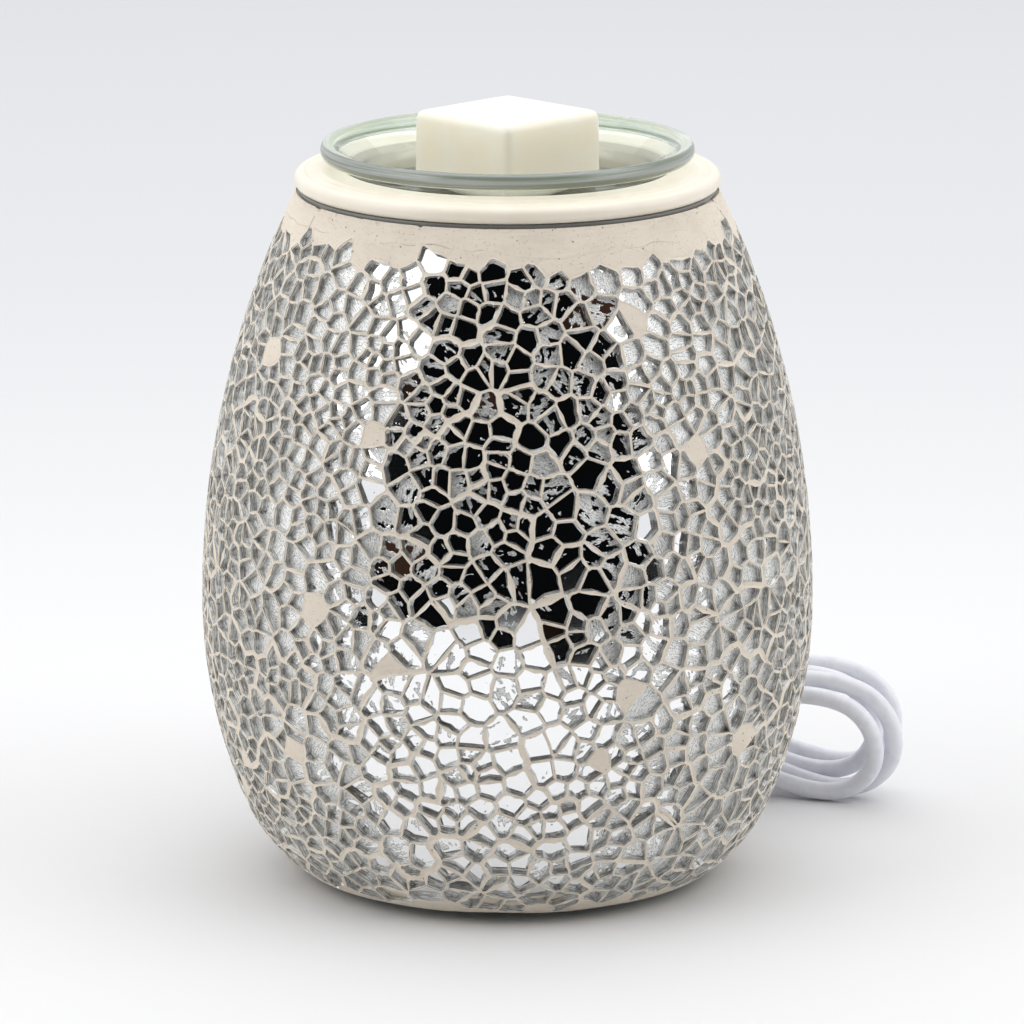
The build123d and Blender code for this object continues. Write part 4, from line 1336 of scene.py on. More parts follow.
        crowded = (np.tril(self.spans(place) < self.least, -1)).any(1)
        return turn[~crowded], z[~crowded], own[~crowded]

    @staticmethod
    def spans(place: np.ndarray) -> np.ndarray:
        """Distances between all pairs of points."""
        square = (place**2).sum(-1)
        return np.sqrt(np.maximum(square[:, None] + square[None] - 2 * place @ place.T, 0))

    @staticmethod
    def chance_of(first: np.ndarray, second: np.ndarray) -> np.ndarray:
        """A number from 0 to 1 for a pair of shards: the fractional part of a large sine of their numbers."""
        first_rate, second_rate, large = 12.9898, 78.233, 43758.5453
        return np.modf(np.abs(np.sin(first * first_rate + second * second_rate) * large))[0]

    def lines(
        self, turn: np.ndarray, z: np.ndarray, own: np.ndarray
    ) -> tuple[np.ndarray, np.ndarray, np.ndarray]:
        """Edge lines of each chip's cell, in its own tangent plane.

        A line lies halfway to a neighbour, square to the way there. Between chips of one shard it is drawn
        back by a thin joint, and between shards by a wide one, whose width belongs to the pair. Eight more
        lines bound the cell.

        Args:
            turn: angles of the chips.
            z: their heights.
            own: their shards.

        Returns:
            Unit normals (n, k, 2), distances of the joint's edge (n, k) and of the joint's middle (n, k).
        """
        place, side, rise, _ = self.shape.frame_at(turn, z)
        span = self.spans(place.astype(np.float32))
        np.fill_diagonal(span, np.inf)
        near = np.argpartition(span, self.neighbours, axis=1)[:, : self.neighbours]
        way = place[near] - place[:, None]
        flat = np.stack([(way * side[:, None]).sum(-1), (way * rise[:, None]).sum(-1)], -1)
        length = np.linalg.norm(flat, axis=-1)
        chance = self.chance_of(np.minimum(own[near], own[:, None]), np.maximum(own[near], own[:, None]))
        level = self.wide_level + self.wide_low * np.clip(1 - z / self.wide_low_z, 0, 1)
        level = (level + self.wide_wave.at(turn))[:, None]
        wide = self.thin + (self.wide_vary[0] + self.wide_vary[1] * chance**2) * self.wide * level
        thin = self.thin * (self.thin_vary[0] + self.thin_vary[1] * chance)
        joint = np.where(own[near] == own[:, None], thin, wide)
        turns8 = np.arange(8) * np.pi / 4 + self.bound_turn
        eight = np.broadcast_to(np.stack([np.cos(turns8), np.sin(turns8)], -1), (len(turn), 8, 2))
        bound = np.full((len(turn), 8), self.bound)
        normals = np.concatenate([flat / length[..., None], eight], 1)
        middles = np.concatenate([length / 2, bound + self.bound_joint], 1)
        return normals, np.concatenate([length / 2 - joint, bound], 1), middles

    @staticmethod
    def corners(normal: np.ndarray, reach: np.ndarray) -> tuple[np.ndarray, np.ndarray]:
        """Corners of convex cells from their edge lines.

        Each pair of lines meets in a point, which is a corner where it lies inside all the other lines. The
        corners are sorted by their angle round the cell's middle.

        Args:
            normal: unit normals (n, k, 2).
            reach: distances of the lines (n, k).

        Returns:
            Corners (n, 10, 2), the valid ones first, and their number (n).
        """
        most, parallel, slack, last = 10, 1e-3, 1e-4, 9.0
        a, b = np.triu_indices(normal.shape[1], 1)
        na, nb, ca, cb = normal[:, a], normal[:, b], reach[:, a], reach[:, b]
        cross = na[..., 0] * nb[..., 1] - na[..., 1] * nb[..., 0]
        safe = np.where(np.abs(cross) < parallel, 1.0, cross)
        meet_x = (ca * nb[..., 1] - cb * na[..., 1]) / safe
        meet_y = (cb * na[..., 0] - ca * nb[..., 0]) / safe
        meet = np.stack([meet_x, meet_y], -1).astype(np.float32)
        inside = np.ones(cross.shape, bool)
        for k in range(normal.shape[1]):
            inside &= (meet * normal[:, k, None].astype(np.float32)).sum(-1) <= reach[:, k, None] + slack
        valid = inside & (np.abs(cross) >= parallel)
        count = valid.sum(1)
        middle = ((meet * valid[..., None]).sum(1) / np.maximum(count, 1)[:, None])[:, None]
        way = meet - middle
        angle = np.where(valid, np.arctan2(way[..., 1], way[..., 0]), last)
        order = np.argsort(angle, axis=1)[:, :most]
        return np.take_along_axis(meet, order[..., None], 1), np.minimum(count, most)

    def outline(self, corner: np.ndarray) -> np.ndarray:
        """Round the corners of cells with n corners and bend their edges.

        Every corner gives way to two points on its edges, and every edge gets a middle point that stands a
        little in or out, so a cell becomes a loop of 3 n points.

        Args:
            corner: (m, n, 2) corners in order.

        Returns:
            (m, 3 n, 2) points.
        """
        ahead, back = np.roll(corner, -1, 1), np.roll(corner, 1, 1)
        to_ahead, to_back = ahead - corner, back - corner
        long_ahead = np.linalg.norm(to_ahead, axis=-1, keepdims=True) + TINY
        long_back = np.linalg.norm(to_back, axis=-1, keepdims=True) + TINY
        cut = self.rng.uniform(*self.cut, long_ahead.shape) ** self.cut_power * self.cut_most
        first = corner + to_back / long_back * np.minimum(cut, self.cut_share * long_back)
        second = corner + to_ahead / long_ahead * np.minimum(cut, self.cut_share * long_ahead)
        out = np.stack([to_ahead[..., 1], -to_ahead[..., 0]], -1) / long_ahead
        middle = (corner + ahead) / 2 + out * self.rng.uniform(*self.bow, long_ahead.shape) * long_ahead
        return np.stack([first, second, middle], 2).reshape(len(corner), -1, 2)

    def on_surface(self, turn: np.ndarray, z: np.ndarray, flat: np.ndarray, height: np.ndarray) -> np.ndarray:
        """Points of a tangent plane, laid back on the outline and lifted off it.

        Args:
            turn: angles of the planes.
            z: their heights.
            flat: (m, n, 2) points on them: arc lengths round the body and up it.
            height: how far each is lifted along the normal.

        Returns:
            (m, n, 3) points.
        """
        high = self.z_at(self.run_at(z)[:, None] + flat[..., 1])
        angle = turn[:, None] + flat[..., 0] / self.shape.radius(high)
        place, _, _, normal = self.shape.frame_at(angle.reshape(-1), high.reshape(-1))
        return (place + normal * np.broadcast_to(height, angle.shape).reshape(-1, 1)).reshape(*angle.shape, 3)

    def build(
        self, mirror: bpy.types.Material, edge: bpy.types.Material, grout: bpy.types.Material
    ) -> tuple[list[bpy.types.Object], list[bpy.types.Object]]:
        """Make the chips and the grout between them, in sectors round the body.

        Args:
            mirror: the silvered back's material.
            edge: the broken edge's material.
            grout: the grout's material.

        Returns:
            The pieces of chips and those of grout.
        """
        turn, z, own = self.seeds()
        normal, joint, middle = self.lines(turn, z, own)
        corner, count = self.corners(normal, joint)
        chip = (z < self.top_edge(turn)) & (z > self.foot_edge(turn) + self.foot_bare)
        chip &= self.rng.uniform(size=len(turn)) > self.lost
        cells = Cells(turn, z, normal, middle, corner, chip)
        sector = ((turn % FULL_TURN) / FULL_TURN * self.sectors).astype(int)
        made: tuple[list, list] = ([], [])
        for number in range(self.sectors):
            chips, joints = Heap(), Heap()
            for sides in range(3, count.max() + 1):
                here = (count == sides) & (sector == number)
                if here.any():
                    self.batch(cells.pick(here), sides, chips, joints)
            made[0].append(chips.build(f"mosaic_chips_{number + 1}", smooth=False))
            dress(made[0][-1], mirror, edge)
            made[1].append(joints.build(f"grout_joints_{number + 1}", smooth=True))
            dress(made[1][-1], grout)
        LOG.info("mosaic: %d chips of %d cells", int(chip.sum()), len(turn))
        return made

    def batch(self, cells: Cells, sides: int, chips: Heap, joints: Heap) -> None:
        """Add all cells with one number of corners to the heaps.

        The grout of a cell slopes from its brim to just past the middle of the joint, along spokes from the
        cell's centre, and a cell without a chip is capped.

        Args:
            cells: the cells.
            sides: their number of corners.
            chips: where the chips go.
            joints: where the grout goes.
        """
        aim_least, far = 0.05, 99
        rng, turn, z = self.rng, cells.turn, cells.z
        loop = self.trimmed(turn, z, self.outline(cells.corner[:, :sides].astype(float)), self.loop_margin)
        m, size = loop.shape[:2]
        ahead = np.roll(loop, -1, 1)
        area = 0.5 * np.abs((loop[..., 0] * ahead[..., 1] - loop[..., 1] * ahead[..., 0]).sum(1))
        chip = cells.chip & (area > self.least_area)
        centre = loop.mean(1, keepdims=True)
        spoke = loop - centre
        spoke_long = np.linalg.norm(spoke, axis=-1, keepdims=True) + TINY
        way = spoke / spoke_long
        toward = np.einsum("mkc,msc->msk", cells.normal, way)
        middle = np.einsum("mkc,msc->msk", cells.normal, np.broadcast_to(centre, loop.shape))
        room = cells.middle[:, None] + self.sunk_joint - middle
        meets = toward > aim_least
        reach = np.where(meets, room / np.where(meets, toward, 1), far).min(-1, keepdims=True)
        reach = np.maximum(reach, spoke_long + self.outer_least)
        outer = self.trimmed(turn, z, centre + way * reach, self.outer_margin)
        level = -self.brim - self.brim_chip * rng.uniform(size=(m, 1))
        level = level - self.brim_point * rng.uniform(size=(m, size))
        brim = self.on_surface(turn, z, loop, np.where(chip[:, None], level, -self.blank_brim))
        under = self.on_surface(turn, z, outer, np.full((m, size), -self.sunk_joint))
        index = np.arange(size)
        joints.add(np.concatenate([brim, under], 1), Patch(ring_faces(index, index + size)[None]))
        joints.add(brim[~chip], Patch(index[None, None]))
        if chip.any():
            self.sink(cells.pick(chip), loop[chip], brim[chip], area[chip], chips)

    def crackle(self, turn: np.ndarray, z: np.ndarray) -> np.ndarray:
        """How crazed each chip is: by its way from the front, a random draw, slow ripples and its height. The
        rise towards the sides, as the camera in front sees them, is real crazing and partly painted grazing
        reflection.

        Args:
            turn: angles of the chips.
            z: their heights.

        Returns:
            A number for each, up to 1.
        """
        front = np.degrees(np.abs((turn + np.pi / 2 + np.pi) % FULL_TURN - np.pi))
        side = np.clip((front - self.side_deg[0]) / self.side_deg[1], 0, 1)
        back = np.clip((front - self.back_deg[0]) / self.back_deg[1], 0, 1)
        # The extra crazing at the sides is partly painted grazing reflection.
        level = self.crazed + self.side_crazing_and_reflection * side - self.crazed_back * back
        level = level + self.rng.normal(0, self.crazed_vary, len(turn))
        low = np.clip(1 - z / self.crazed_low_z, 0, 1)
        level = level + self.crazed_wave.at(turn) - self.crazed_low * low
        return np.clip(level, self.crazed_least, 1.0)

    def sink(self, cells: Cells, loop: np.ndarray, brim: np.ndarray, area: np.ndarray, chips: Heap) -> None:
        """Sink the mirrors of some chips under their brims and join them with broken edges.

        A mirror is the brim's loop drawn in by the slant of its walls, tilted a little and lowered by its
        depth.

        Args:
            cells: the chips' cells.
            loop: (m, n, 2) outlines in their tangent planes.
            brim: (m, n, 3) points of their brims.
            area: their areas.
            chips: where they go.
        """
        rng = self.rng
        m, size = loop.shape[:2]
        centre = loop.mean(1, keepdims=True)
        inner = np.sqrt(area / np.pi)[:, None, None]
        slant = self.slant * rng.uniform(*self.slant_vary, (m, 1, 1))
        shift = rng.normal(0, self.shift, (m, 1, 2))
        low = centre + (loop - centre) * np.clip(1 - slant / inner, self.least_share, 1.0) + shift
        tilt = rng.normal(0, np.radians(self.tilt_deg), (m, 1, 2))
        deep = -self.depth + ((low - centre) * tilt).sum(-1) + rng.uniform(*self.depth_vary, (m, 1))
        place, side, rise, normal = (part[:, None] for part in self.shape.frame_at(cells.turn, cells.z))
        floor = place + low[..., :1] * side + low[..., 1:] * rise + deep[..., None] * normal
        offset = rng.uniform(0, self.map_room, (m, 1, 2))
        edge_long = np.linalg.norm(np.roll(loop, -1, 1) - loop, axis=-1)
        run = np.concatenate([np.zeros((m, 1)), np.cumsum(edge_long, 1)], 1)
        start, end = run[:, :-1], run[:, 1:]
        high = np.linalg.norm(brim - floor, axis=-1)
        along = np.stack([start, end, end, start], -1)[..., ::-1]
        down = np.stack([0 * high, 0 * high, np.roll(high, -1, 1), high], -1)[..., ::-1]
        wall_map = np.stack([along, down], -1) + offset[:, :, None]
        lean = rng.uniform(0, np.pi, (m, 1))
        x, y = low[..., 0], low[..., 1]
        c, s = np.cos(lean), np.sin(lean)
        face_map = np.stack([x * c + y * s, y * c - x * s], -1) + offset
        points = np.concatenate([brim, floor], 1)
        marks = np.broadcast_to(self.crackle(cells.turn, cells.z)[:, None], points.shape[:2])
        index = np.arange(size)
        after = np.roll(index, -1)
        walls = np.stack([index, after, after + size, index + size], -1)[None, :, ::-1]
        faces = Patch((index + size)[None, None], face_map[:, None], 0)
        chips.add(points, Patch(walls, wall_map, 1), faces, marks=marks)


@dataclass
class GroutBands:
    """The bare band of grout under the collar, the hem at the foot and the bed behind the chips.

    Heights and insets are in millimetres. Each band dips under the chips at its ragged edge and curls in to
    the glass at its rim.
    """

    shape: BodyShape
    mosaic: Mosaic
    coat: float = 2.4
    shy: float = 0.26
    lip: float = 1.9
    shoulder: float = 0.7
    curl: float = 0.8
    over_rim: float = 0.05
    ragged_up: float = 1.9
    ragged_wave: Ripple = Ripple(0.35, 31, 40, 30)
    toe_up: Pair = (0.12, 0.45)
    toe_in: float = 0.1
    band_shares: tuple[float, float, int] = (0.12, 1.0, 12)
    top_z: float = 160.2
    top_waves: tuple[Ripple, ...] = (Ripple(0.35, 32, 20, 4), Ripple(0.16, 33, 60, 40))
    top_round: Pair = (0.35, 0.08)
    top_in: float = 0.32
    rim_step: float = 0.02
    hem_high: float = 0.75
    hem_shares: tuple[float, float, int] = (0.25, 1.0, 5)
    hem_round: Pair = (0.4, 0.15)
    hem_in: float = 0.3
    bed_in: float = 0.12
    bed_low: float = 0.9
    bed_top: float = 0.6
    bed_rows: int = 40
    wave: float = 0.07
    wave_seed: int = 34
    wave_seeds: int = 20
    segments: int = 960

    def __post_init__(self) -> None:
        """Set the angles of the bands' points."""
        self.turn = np.linspace(0, FULL_TURN, self.segments, endpoint=False)

    def sheet(self, name: str, rows: list[tuple], grout: bpy.types.Material) -> bpy.types.Object:
        """A band round the body.

        Each row is a ring whose radius is that of the outline at its height, less its inset.

        Args:
            name: the piece's name.
            rows: for each row, heights and insets under the outline, as numbers or one for each angle.
            grout: the material.

        Returns:
            The piece.
        """
        points = []
        for height, inset in rows:
            radius = self.shape.radius(height) - inset
            ring = (radius * np.cos(self.turn), radius * np.sin(self.turn), height + 0 * self.turn)
            points.append(np.stack(ring, -1))
        faces = grid_faces(len(rows), self.segments, wrap_columns=True)
        piece = make_mesh(name, np.concatenate(points) * MM, [faces])
        dress(piece, grout)
        return piece

    def build(self, grout: bpy.types.Material) -> list[bpy.types.Object]:
        """Make the three pieces: each band runs from its ragged edge by the chips to its rim on the glass.

        Args:
            grout: the material.

        Returns:
            The band, the hem and the bed.
        """
        turn, shy, glass = self.turn, self.shy, self.coat + self.over_rim
        toe, shin = self.toe_up
        slow, quick = self.top_waves
        ragged = self.mosaic.top_edge(turn) + self.ragged_up + self.ragged_wave.at(turn)
        rim = self.top_z + slow.at(turn) + quick.at(turn)
        start, end = self.top_round
        rows = [(ragged, self.lip), (ragged + toe, self.shoulder), (ragged + shin, shy + self.toe_in)]
        for share in np.linspace(*self.band_shares):
            wave = Ripple(self.wave, self.wave_seed + int(share * self.wave_seeds), 14, 3).at(turn + share)
            rows.append((ragged + (rim - ragged - start) * share, shy + wave))
        rows += [(rim - end, shy + self.top_in), (rim, shy + self.curl), (rim + self.rim_step, glass)]
        band = self.sheet("grout_band", rows, grout)
        rim = self.mosaic.foot_edge(turn)
        ragged = rim + self.hem_high
        start, end = self.hem_round
        rows = [(rim - self.rim_step, glass), (rim, shy + self.curl), (rim + end, shy + self.hem_in)]
        rows += [(rim + (ragged - rim - start) * share, shy) for share in np.linspace(*self.hem_shares)]
        rows += [(ragged - toe, self.shoulder), (ragged, self.lip)]
        hem = self.sheet("grout_hem", rows, grout)
        low, top = self.mosaic.foot_z + self.bed_low, self.top_z - self.bed_top
        heights = np.linspace(low, top, self.bed_rows)
        bed = self.sheet("grout_bed", [(height, self.coat - self.bed_in) for height in heights], grout)
        return [band, hem, bed]


# Collar, bead, dish and wax


@dataclass
class Collar:
    """Pressed collar with a rolled edge, a groove, a raised inner ring and a skirt inside the neck."""

    over: float = 2.9
    roll: float = 2.0
    width: float = 11.6
    low_z: float = 161.5
    sheet: float = 1.5
    groove_in: float = 3.3
    groove_w: float = 2.0
    groove_deep: float = 0.45
    step_in: float = 5.9
    step_h: float = 0.6
    skirt_h: float = 8.0
    skirt_clear: float = 0.35
    coat: float = 2.4
    wall_in: float = 5.0
    chamfer: float = 0.5
    drop: float = 1.5
    step_round: float = 0.4
    bore_round: float = 0.25
    edge_round: float = 0.3
    roll_round: float = 0.2

    def build(self, shape: BodyShape, material: bpy.types.Material) -> bpy.types.Object:
        """Turn the collar's profile about the axis.

        Args:
            shape: the body's outline.
            material: the collar's paint.

        Returns:
            The piece.
        """
        outer = float(shape.radius(shape.lip_z, self.coat)) + self.over
        neck = float(shape.radius(shape.lip_z, self.wall_in))
        low, bore, top = self.low_z, outer - self.width, self.low_z + 2 * self.roll
        seat, roof, skirt = top + self.step_h, top - self.sheet, neck - self.skirt_clear
        groove, half, edge = outer - self.groove_in, self.groove_w / 2, outer - self.roll
        roll = arc_through((edge, low), (outer, low + self.roll), (edge, top), steps=16)
        bottom = (groove, top - self.groove_deep)
        dip = arc_through((groove + half, top), bottom, (groove - half, top), steps=8)
        rest = rounded(
            [
                (groove - half, top),
                (outer - self.step_in + self.step_h, top),
                (outer - self.step_in, seat),
                (bore + self.chamfer, seat),
                (bore, seat - self.chamfer),
                (bore, low - self.drop),
                (bore + self.sheet, low - self.drop),
                (bore + self.sheet, roof),
                (skirt - self.sheet, roof),
                (skirt - self.sheet, low - self.skirt_h),
                (skirt, low - self.skirt_h),
                (skirt, low),
                (edge, low),
            ],
            [self.step_round] * 2 + [self.bore_round] + [self.edge_round] * 7 + [self.roll_round],
            steps=4,
        )
        piece = turned("collar_ring", np.concatenate([roll, dip, rest]))
        soften(piece)
        dress(piece, material)
        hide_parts("collar")
        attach(piece, "housing")
        return piece


@dataclass
class Bead:
    """Soft bead between the glass lip and the collar, squeezed out over the grout's rim."""

    inner_r: float = 43.8
    lip_r: float = 46.35
    outer_r: float = 47.9
    low_z: float = 160.25
    lip_z: float = 160.82
    high_z: float = 161.48
    inner_round: float = 0.05
    outer_round: float = 0.4

    def build(self, material: bpy.types.Material) -> bpy.types.Object:
        """Turn the bead's profile about the axis.

        Args:
            material: the bead's silicone.

        Returns:
            The piece.
        """
        corners = [
            (self.inner_r, self.lip_z),
            (self.lip_r, self.lip_z),
            (self.lip_r, self.low_z),
            (self.outer_r, self.low_z),
            (self.outer_r, self.high_z),
            (self.inner_r, self.high_z),
        ]
        radii = [self.inner_round] * 2 + [self.outer_round] * 2
        piece = turned("collar_seal", rounded(corners, radii, steps=6))
        soften(piece)
        dress(piece, material)
        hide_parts("collar_bead")
        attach(piece, "housing")
        return piece


@dataclass
class Dish:
    """Shallow glass dish with a flared wall and a thick rounded rim."""

    bore: float = 37.33
    wall: float = 2.6
    low_z: float = 156.0
    bowl_clear: float = 2.1
    flare_over: float = 2.3
    rim_over: float = 5.55
    corner: float = 6.0
    rim_h: float = 3.7
    rim_w: float = 2.9
    rim_lift: float = 0.6
    seat_z: float = 166.1
    chamfer: float = 0.5
    gap: float = 0.2

    def profile(self) -> np.ndarray:
        """Profile of the dish: from the axis under its floor, round the rim and back over its floor."""
        root2 = float(np.sqrt(2))
        bowl, rim = self.bore - self.bowl_clear, self.bore + self.rim_over
        flare_end = self.bore + self.flare_over
        flare_r = self.bore + self.chamfer / 2 - self.gap / root2
        flare_z = self.seat_z - self.chamfer / 2 + self.gap / root2
        low, high = flare_z - (flare_r - bowl), flare_z + (flare_end - flare_r)
        floor, top = self.low_z + self.wall, high + self.rim_h
        inner = self.wall * (root2 - 1)
        edge = rim - self.rim_h / 4
        under = rounded(
            [(0, self.low_z), (bowl, self.low_z), (bowl, low), (flare_end, high), (edge, high)],
            [self.corner, self.wall, self.wall / 3],
            steps=10,
        )
        round_rim = arc_through((edge, high), (rim, high + self.rim_h / 2), (edge, top), steps=18)
        over = rounded(
            [
                (edge, top),
                (rim - self.rim_w, top - self.rim_h / 6),
                (flare_end - inner, high + self.wall * self.rim_lift),
                (bowl - self.wall, low + inner),
                (bowl - self.wall, floor),
                (0, floor),
            ],
            [self.wall / 4, self.wall / 2, self.wall, self.corner - self.wall],
            steps=10,
        )
        return np.concatenate([under, round_rim, over])

    def build(self, material: bpy.types.Material, rim: bpy.types.Material) -> bpy.types.Object:
        """Turn the dish's profile about the axis, and give the rim its own glass.

        Args:
            material: the clear glass.
            rim: the rim's glass.

        Returns:
            The piece.
        """
        piece = turned("melting_dish", self.profile())
        dress(piece, material, rim)
        middles = np.empty(len(piece.data.polygons) * 3)
        piece.data.polygons.foreach_get("center", middles)
        x, y, z = middles.reshape(-1, 3).T / MM
        on_rim = (np.hypot(x, y) > self.bore + self.flare_over) & (z > self.seat_z)
        piece.data.polygons.foreach_set("material_index", on_rim.astype(np.int32))
        piece.visible_shadow = False
        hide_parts("glass_dish")
        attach(piece, "dish")
        return piece


@dataclass
class WaxCube:
    """A cube of wax with soft edges, standing cornerwise."""

    side: float = 31.2
    height: float = 20.3
    low_z: float = 158.8
    draft_deg: float = 1.2
    turn_deg: float = 45.0
    edge: float = 1.9
    hollow: float = 0.25
    skin: float = 0.1
    uneven: float = 0.003
    wave_x: Pair = (0.31, 1.0)
    wave_y: Pair = (0.27, 0.4)
    wave_z: Pair = (0.5, 2.0)
    digits: int = 4
    steps: int = 44

    def build(self, material: bpy.types.Material) -> bpy.types.Object:
        """Make the cube: a box grid whose outer shell is its inner box plus a sphere of the edge's radius.

        A point of the shell is the nearest point of the inner box plus the edge's radius along the way out.
        Upwards it draws in by the draft, the top sinks a little in its middle, and slow waves of a tenth of a
        millimetre, each with its turn per millimetre and its phase, make the faces uneven.

        Args:
            material: the wax.

        Returns:
            The piece.
        """
        share = np.linspace(-1, 1, self.steps)
        a, b = (grid.reshape(-1) for grid in np.meshgrid(share, share, indexing="ij"))
        one = np.ones_like(a)
        sides = [(one, a, b), (-one, b, a), (b, one, a), (a, -one, b), (a, b, one), (b, a, -one)]
        shell = np.concatenate([np.stack(side, -1) for side in sides])
        faces = np.concatenate([grid_faces(self.steps, self.steps) + k * self.steps**2 for k in range(6)])
        half = np.array([self.side / 2, self.side / 2, self.height / 2])
        outer = shell * half
        core = np.clip(outer, -half + self.edge, half - self.edge)
        way = outer - core
        long = np.linalg.norm(way, axis=-1, keepdims=True)
        place = core + way / np.maximum(long, TINY) * self.edge
        rise = place[:, 2] + self.height / 2
        place[:, :2] *= (1 - np.tan(np.radians(self.draft_deg)) * rise / (self.side / 2))[:, None]
        x, y, z = place.T
        waves = zip((x, y, z), (self.wave_x, self.wave_y, self.wave_z))
        along, across, up = (np.sin(axis * rate + phase) for axis, (rate, phase) in waves)
        wave = along * across + up
        bulge = (1 - (x / half[0]) ** 2) * (1 - (y / half[1]) ** 2)
        place[:, :2] *= (1 - self.uneven * (1 + wave))[:, None]
        place[:, 2] -= np.where(z > self.height / 2 - self.skin, self.hollow * np.clip(bulge, 0, 1), 0)
        cos, sin = np.cos(np.radians(self.turn_deg)), np.sin(np.radians(self.turn_deg))
        place = np.stack([x * cos - y * sin, x * sin + y * cos, rise + self.low_z], -1)
        whole = np.round(place, self.digits)
        _, first, again = np.unique(whole, axis=0, return_index=True, return_inverse=True)
        piece = make_mesh("wax_block", place[first] * MM, [again.reshape(-1)[faces]])
        dress(piece, material)
        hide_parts("wax_cube")
        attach(piece, "wax")
        return piece


# The cord


@dataclass
class MainsCord:
    """The cord from the bushing to the plug, with its tied hank, all on one smooth line."""

    shape: BodyShape
    diameter: float = 4.35
    turn_deg: float = 122.0
    exit_z: float = 20.0
    tail: float = 20.0
    hank_x: float = 33.0
    hank_y: float = 63.8
    rest: float = 0.1
    yaw_deg: float = 18.0
    lean_deg: float = 15.0
    loops: int = 4
    layer: float = 5.1
    fold: float = 13.25
    swell: float = 1.5
    reach: float = 54.2
    stagger: float = 4.8
    grow: float = 1.4
    left: float = 26.0
    waist: float = 5.5
    near_share: float = 0.28
    lead_run: float = 14.8
    tail_run: float = 23.9
    switch_at: Triple = (-23.0, 126.0, 7.7)
    switch_len: float = 50.0
    plug_at: Triple = (27.0, 174.4, 7.05)
    from_bushing: tuple[Triple, ...] = (
        (-53.0, 84.8, 18.0),
        (-51.4, 101.6, 11.0),
        (-39.4, 113.4, 5.0),
        (-22.5, 114.8, 3.0),
    )
    to_switch: tuple[Triple, ...] = (
        (-44.0, 80.6, 25.5),
        (-56.8, 95.0, 21.0),
        (-55.3, 113.4, 14.0),
        (-41.5, 126.0, 7.7),
    )
    to_plug: tuple[Triple, ...] = (
        (47.0, 126.0, 7.7),
        (61.0, 140.4, 3.6),
        (61.0, 160.4, 3.6),
        (46.8, 174.4, 7.05),
    )
    length: float = 1277.0

    def __post_init__(self) -> None:
        """Set the hank's own axes: along its length, up its loops and away from the body."""
        yaw, lean = np.radians(self.yaw_deg), np.radians(self.lean_deg)
        self.along = np.array([np.cos(yaw), -np.sin(yaw), 0.0])
        back = np.array([np.sin(yaw), np.cos(yaw), 0.0])
        up = np.array([0.0, 0.0, 1.0])
        self.rise = -back * np.sin(lean) + up * np.cos(lean)
        self.away = back * np.cos(lean) + up * np.sin(lean)
        high = self.rest + self.diameter / 2 + self.fold * np.cos(lean)
        self.middle = np.array([self.hank_x, self.hank_y, high])

    def hank_point(self, along: float, rise: float, layer: float) -> np.ndarray:
        """A point of the hank, from its length, its height in the loop's plane and its layer."""
        return self.middle + self.along * along + self.rise * rise + self.away * (layer * self.layer)

    def fold_radius(self, half_turn: int) -> float:
        """Radius of a fold: it swells steadily to the third loop's and shrinks back."""
        peak = 2 * (self.loops - 2)
        return self.fold + self.swell * max(0.0, 1 - abs(half_turn - peak) / 2)

    def fold_points(self, centre: float, radius: float, layer: float, side: int) -> list[np.ndarray]:
        """Control points of a half turn: four corners of the eight-sided figure round its circle.

        Args:
            centre: the circle's place along the hank.
            radius: its radius.
            layer: the fold's layer.
            side: 1 for a fold at the right end, -1 at the left.

        Returns:
            The four points.
        """
        turn = np.radians(np.array([-67.5, -22.5, 22.5, 67.5])) * side
        far = radius / np.cos(np.pi / 8)
        return [self.hank_point(centre + side * far * np.cos(t), far * np.sin(t), layer) for t in turn]

    def run_points(
        self, start: np.ndarray, middle: np.ndarray, end: np.ndarray, heading: int
    ) -> list[np.ndarray]:
        """Control points of a run that leaves and arrives along the hank and leans over at its middle.

        Args:
            start: where it starts.
            middle: the point it crosses.
            end: where it ends.
            heading: 1 when it runs to the right, -1 to the left.

        Returns:
            The four points.
        """
        along = self.along * heading
        chord = middle - start
        half = np.linalg.norm(chord)
        chord = chord / half
        lean = 2 * (chord @ along) * chord - along
        near = self.near_share * half
        return [start + along * near, middle - lean * near, middle + lean * near, end - along * near]

    def hank(self) -> tuple[np.ndarray, np.ndarray, list[np.ndarray]]:
        """The hank's start, its end and the control points between them, loop by loop from the back layer."""
        back = self.loops - 1
        start = self.hank_point(-self.left, -self.fold, back + 1)
        points: list[np.ndarray] = []
        here = start
        for loop in range(self.loops):
            layer = back - loop
            right, left = self.fold_radius(2 * loop), self.fold_radius(2 * loop + 1)
            centre = self.reach + self.stagger * (1 - loop % 2) + self.grow * loop - right
            low, top = self.hank_point(centre, -right, layer), self.hank_point(centre, right, layer)
            points += self.run_points(here, self.hank_point(0, -self.waist, layer + 0.5), low, 1)
            points += self.fold_points(centre, right, layer, 1)
            here = self.hank_point(-self.left, left, layer)
            points += self.run_points(top, self.hank_point(0, self.waist, layer), here, -1)
            if layer:
                points += self.fold_points(-self.left, left, layer, -1)
                here = self.hank_point(-self.left, -left, layer)
        return start, here, points

    def route(self) -> np.ndarray:
        """Control points of the whole cord in millimetres, from the bushing to the plug."""
        turn = np.radians(self.turn_deg)
        out = float(self.shape.radius(self.exit_z)) + self.tail
        start, end, hank = self.hank()
        switch = np.array(self.switch_at)
        points = [
            (out * np.cos(turn), out * np.sin(turn), self.exit_z),
            *self.from_bushing,
            start - self.along * self.lead_run,
            start - self.along * self.diameter,
            *hank,
            end - self.along * self.diameter,
            end - self.along * self.tail_run,
            *self.to_switch,
            switch,
            switch + np.array([self.switch_len, 0, 0]),
            *self.to_plug,
            self.plug_at,
        ]
        return np.array(points)

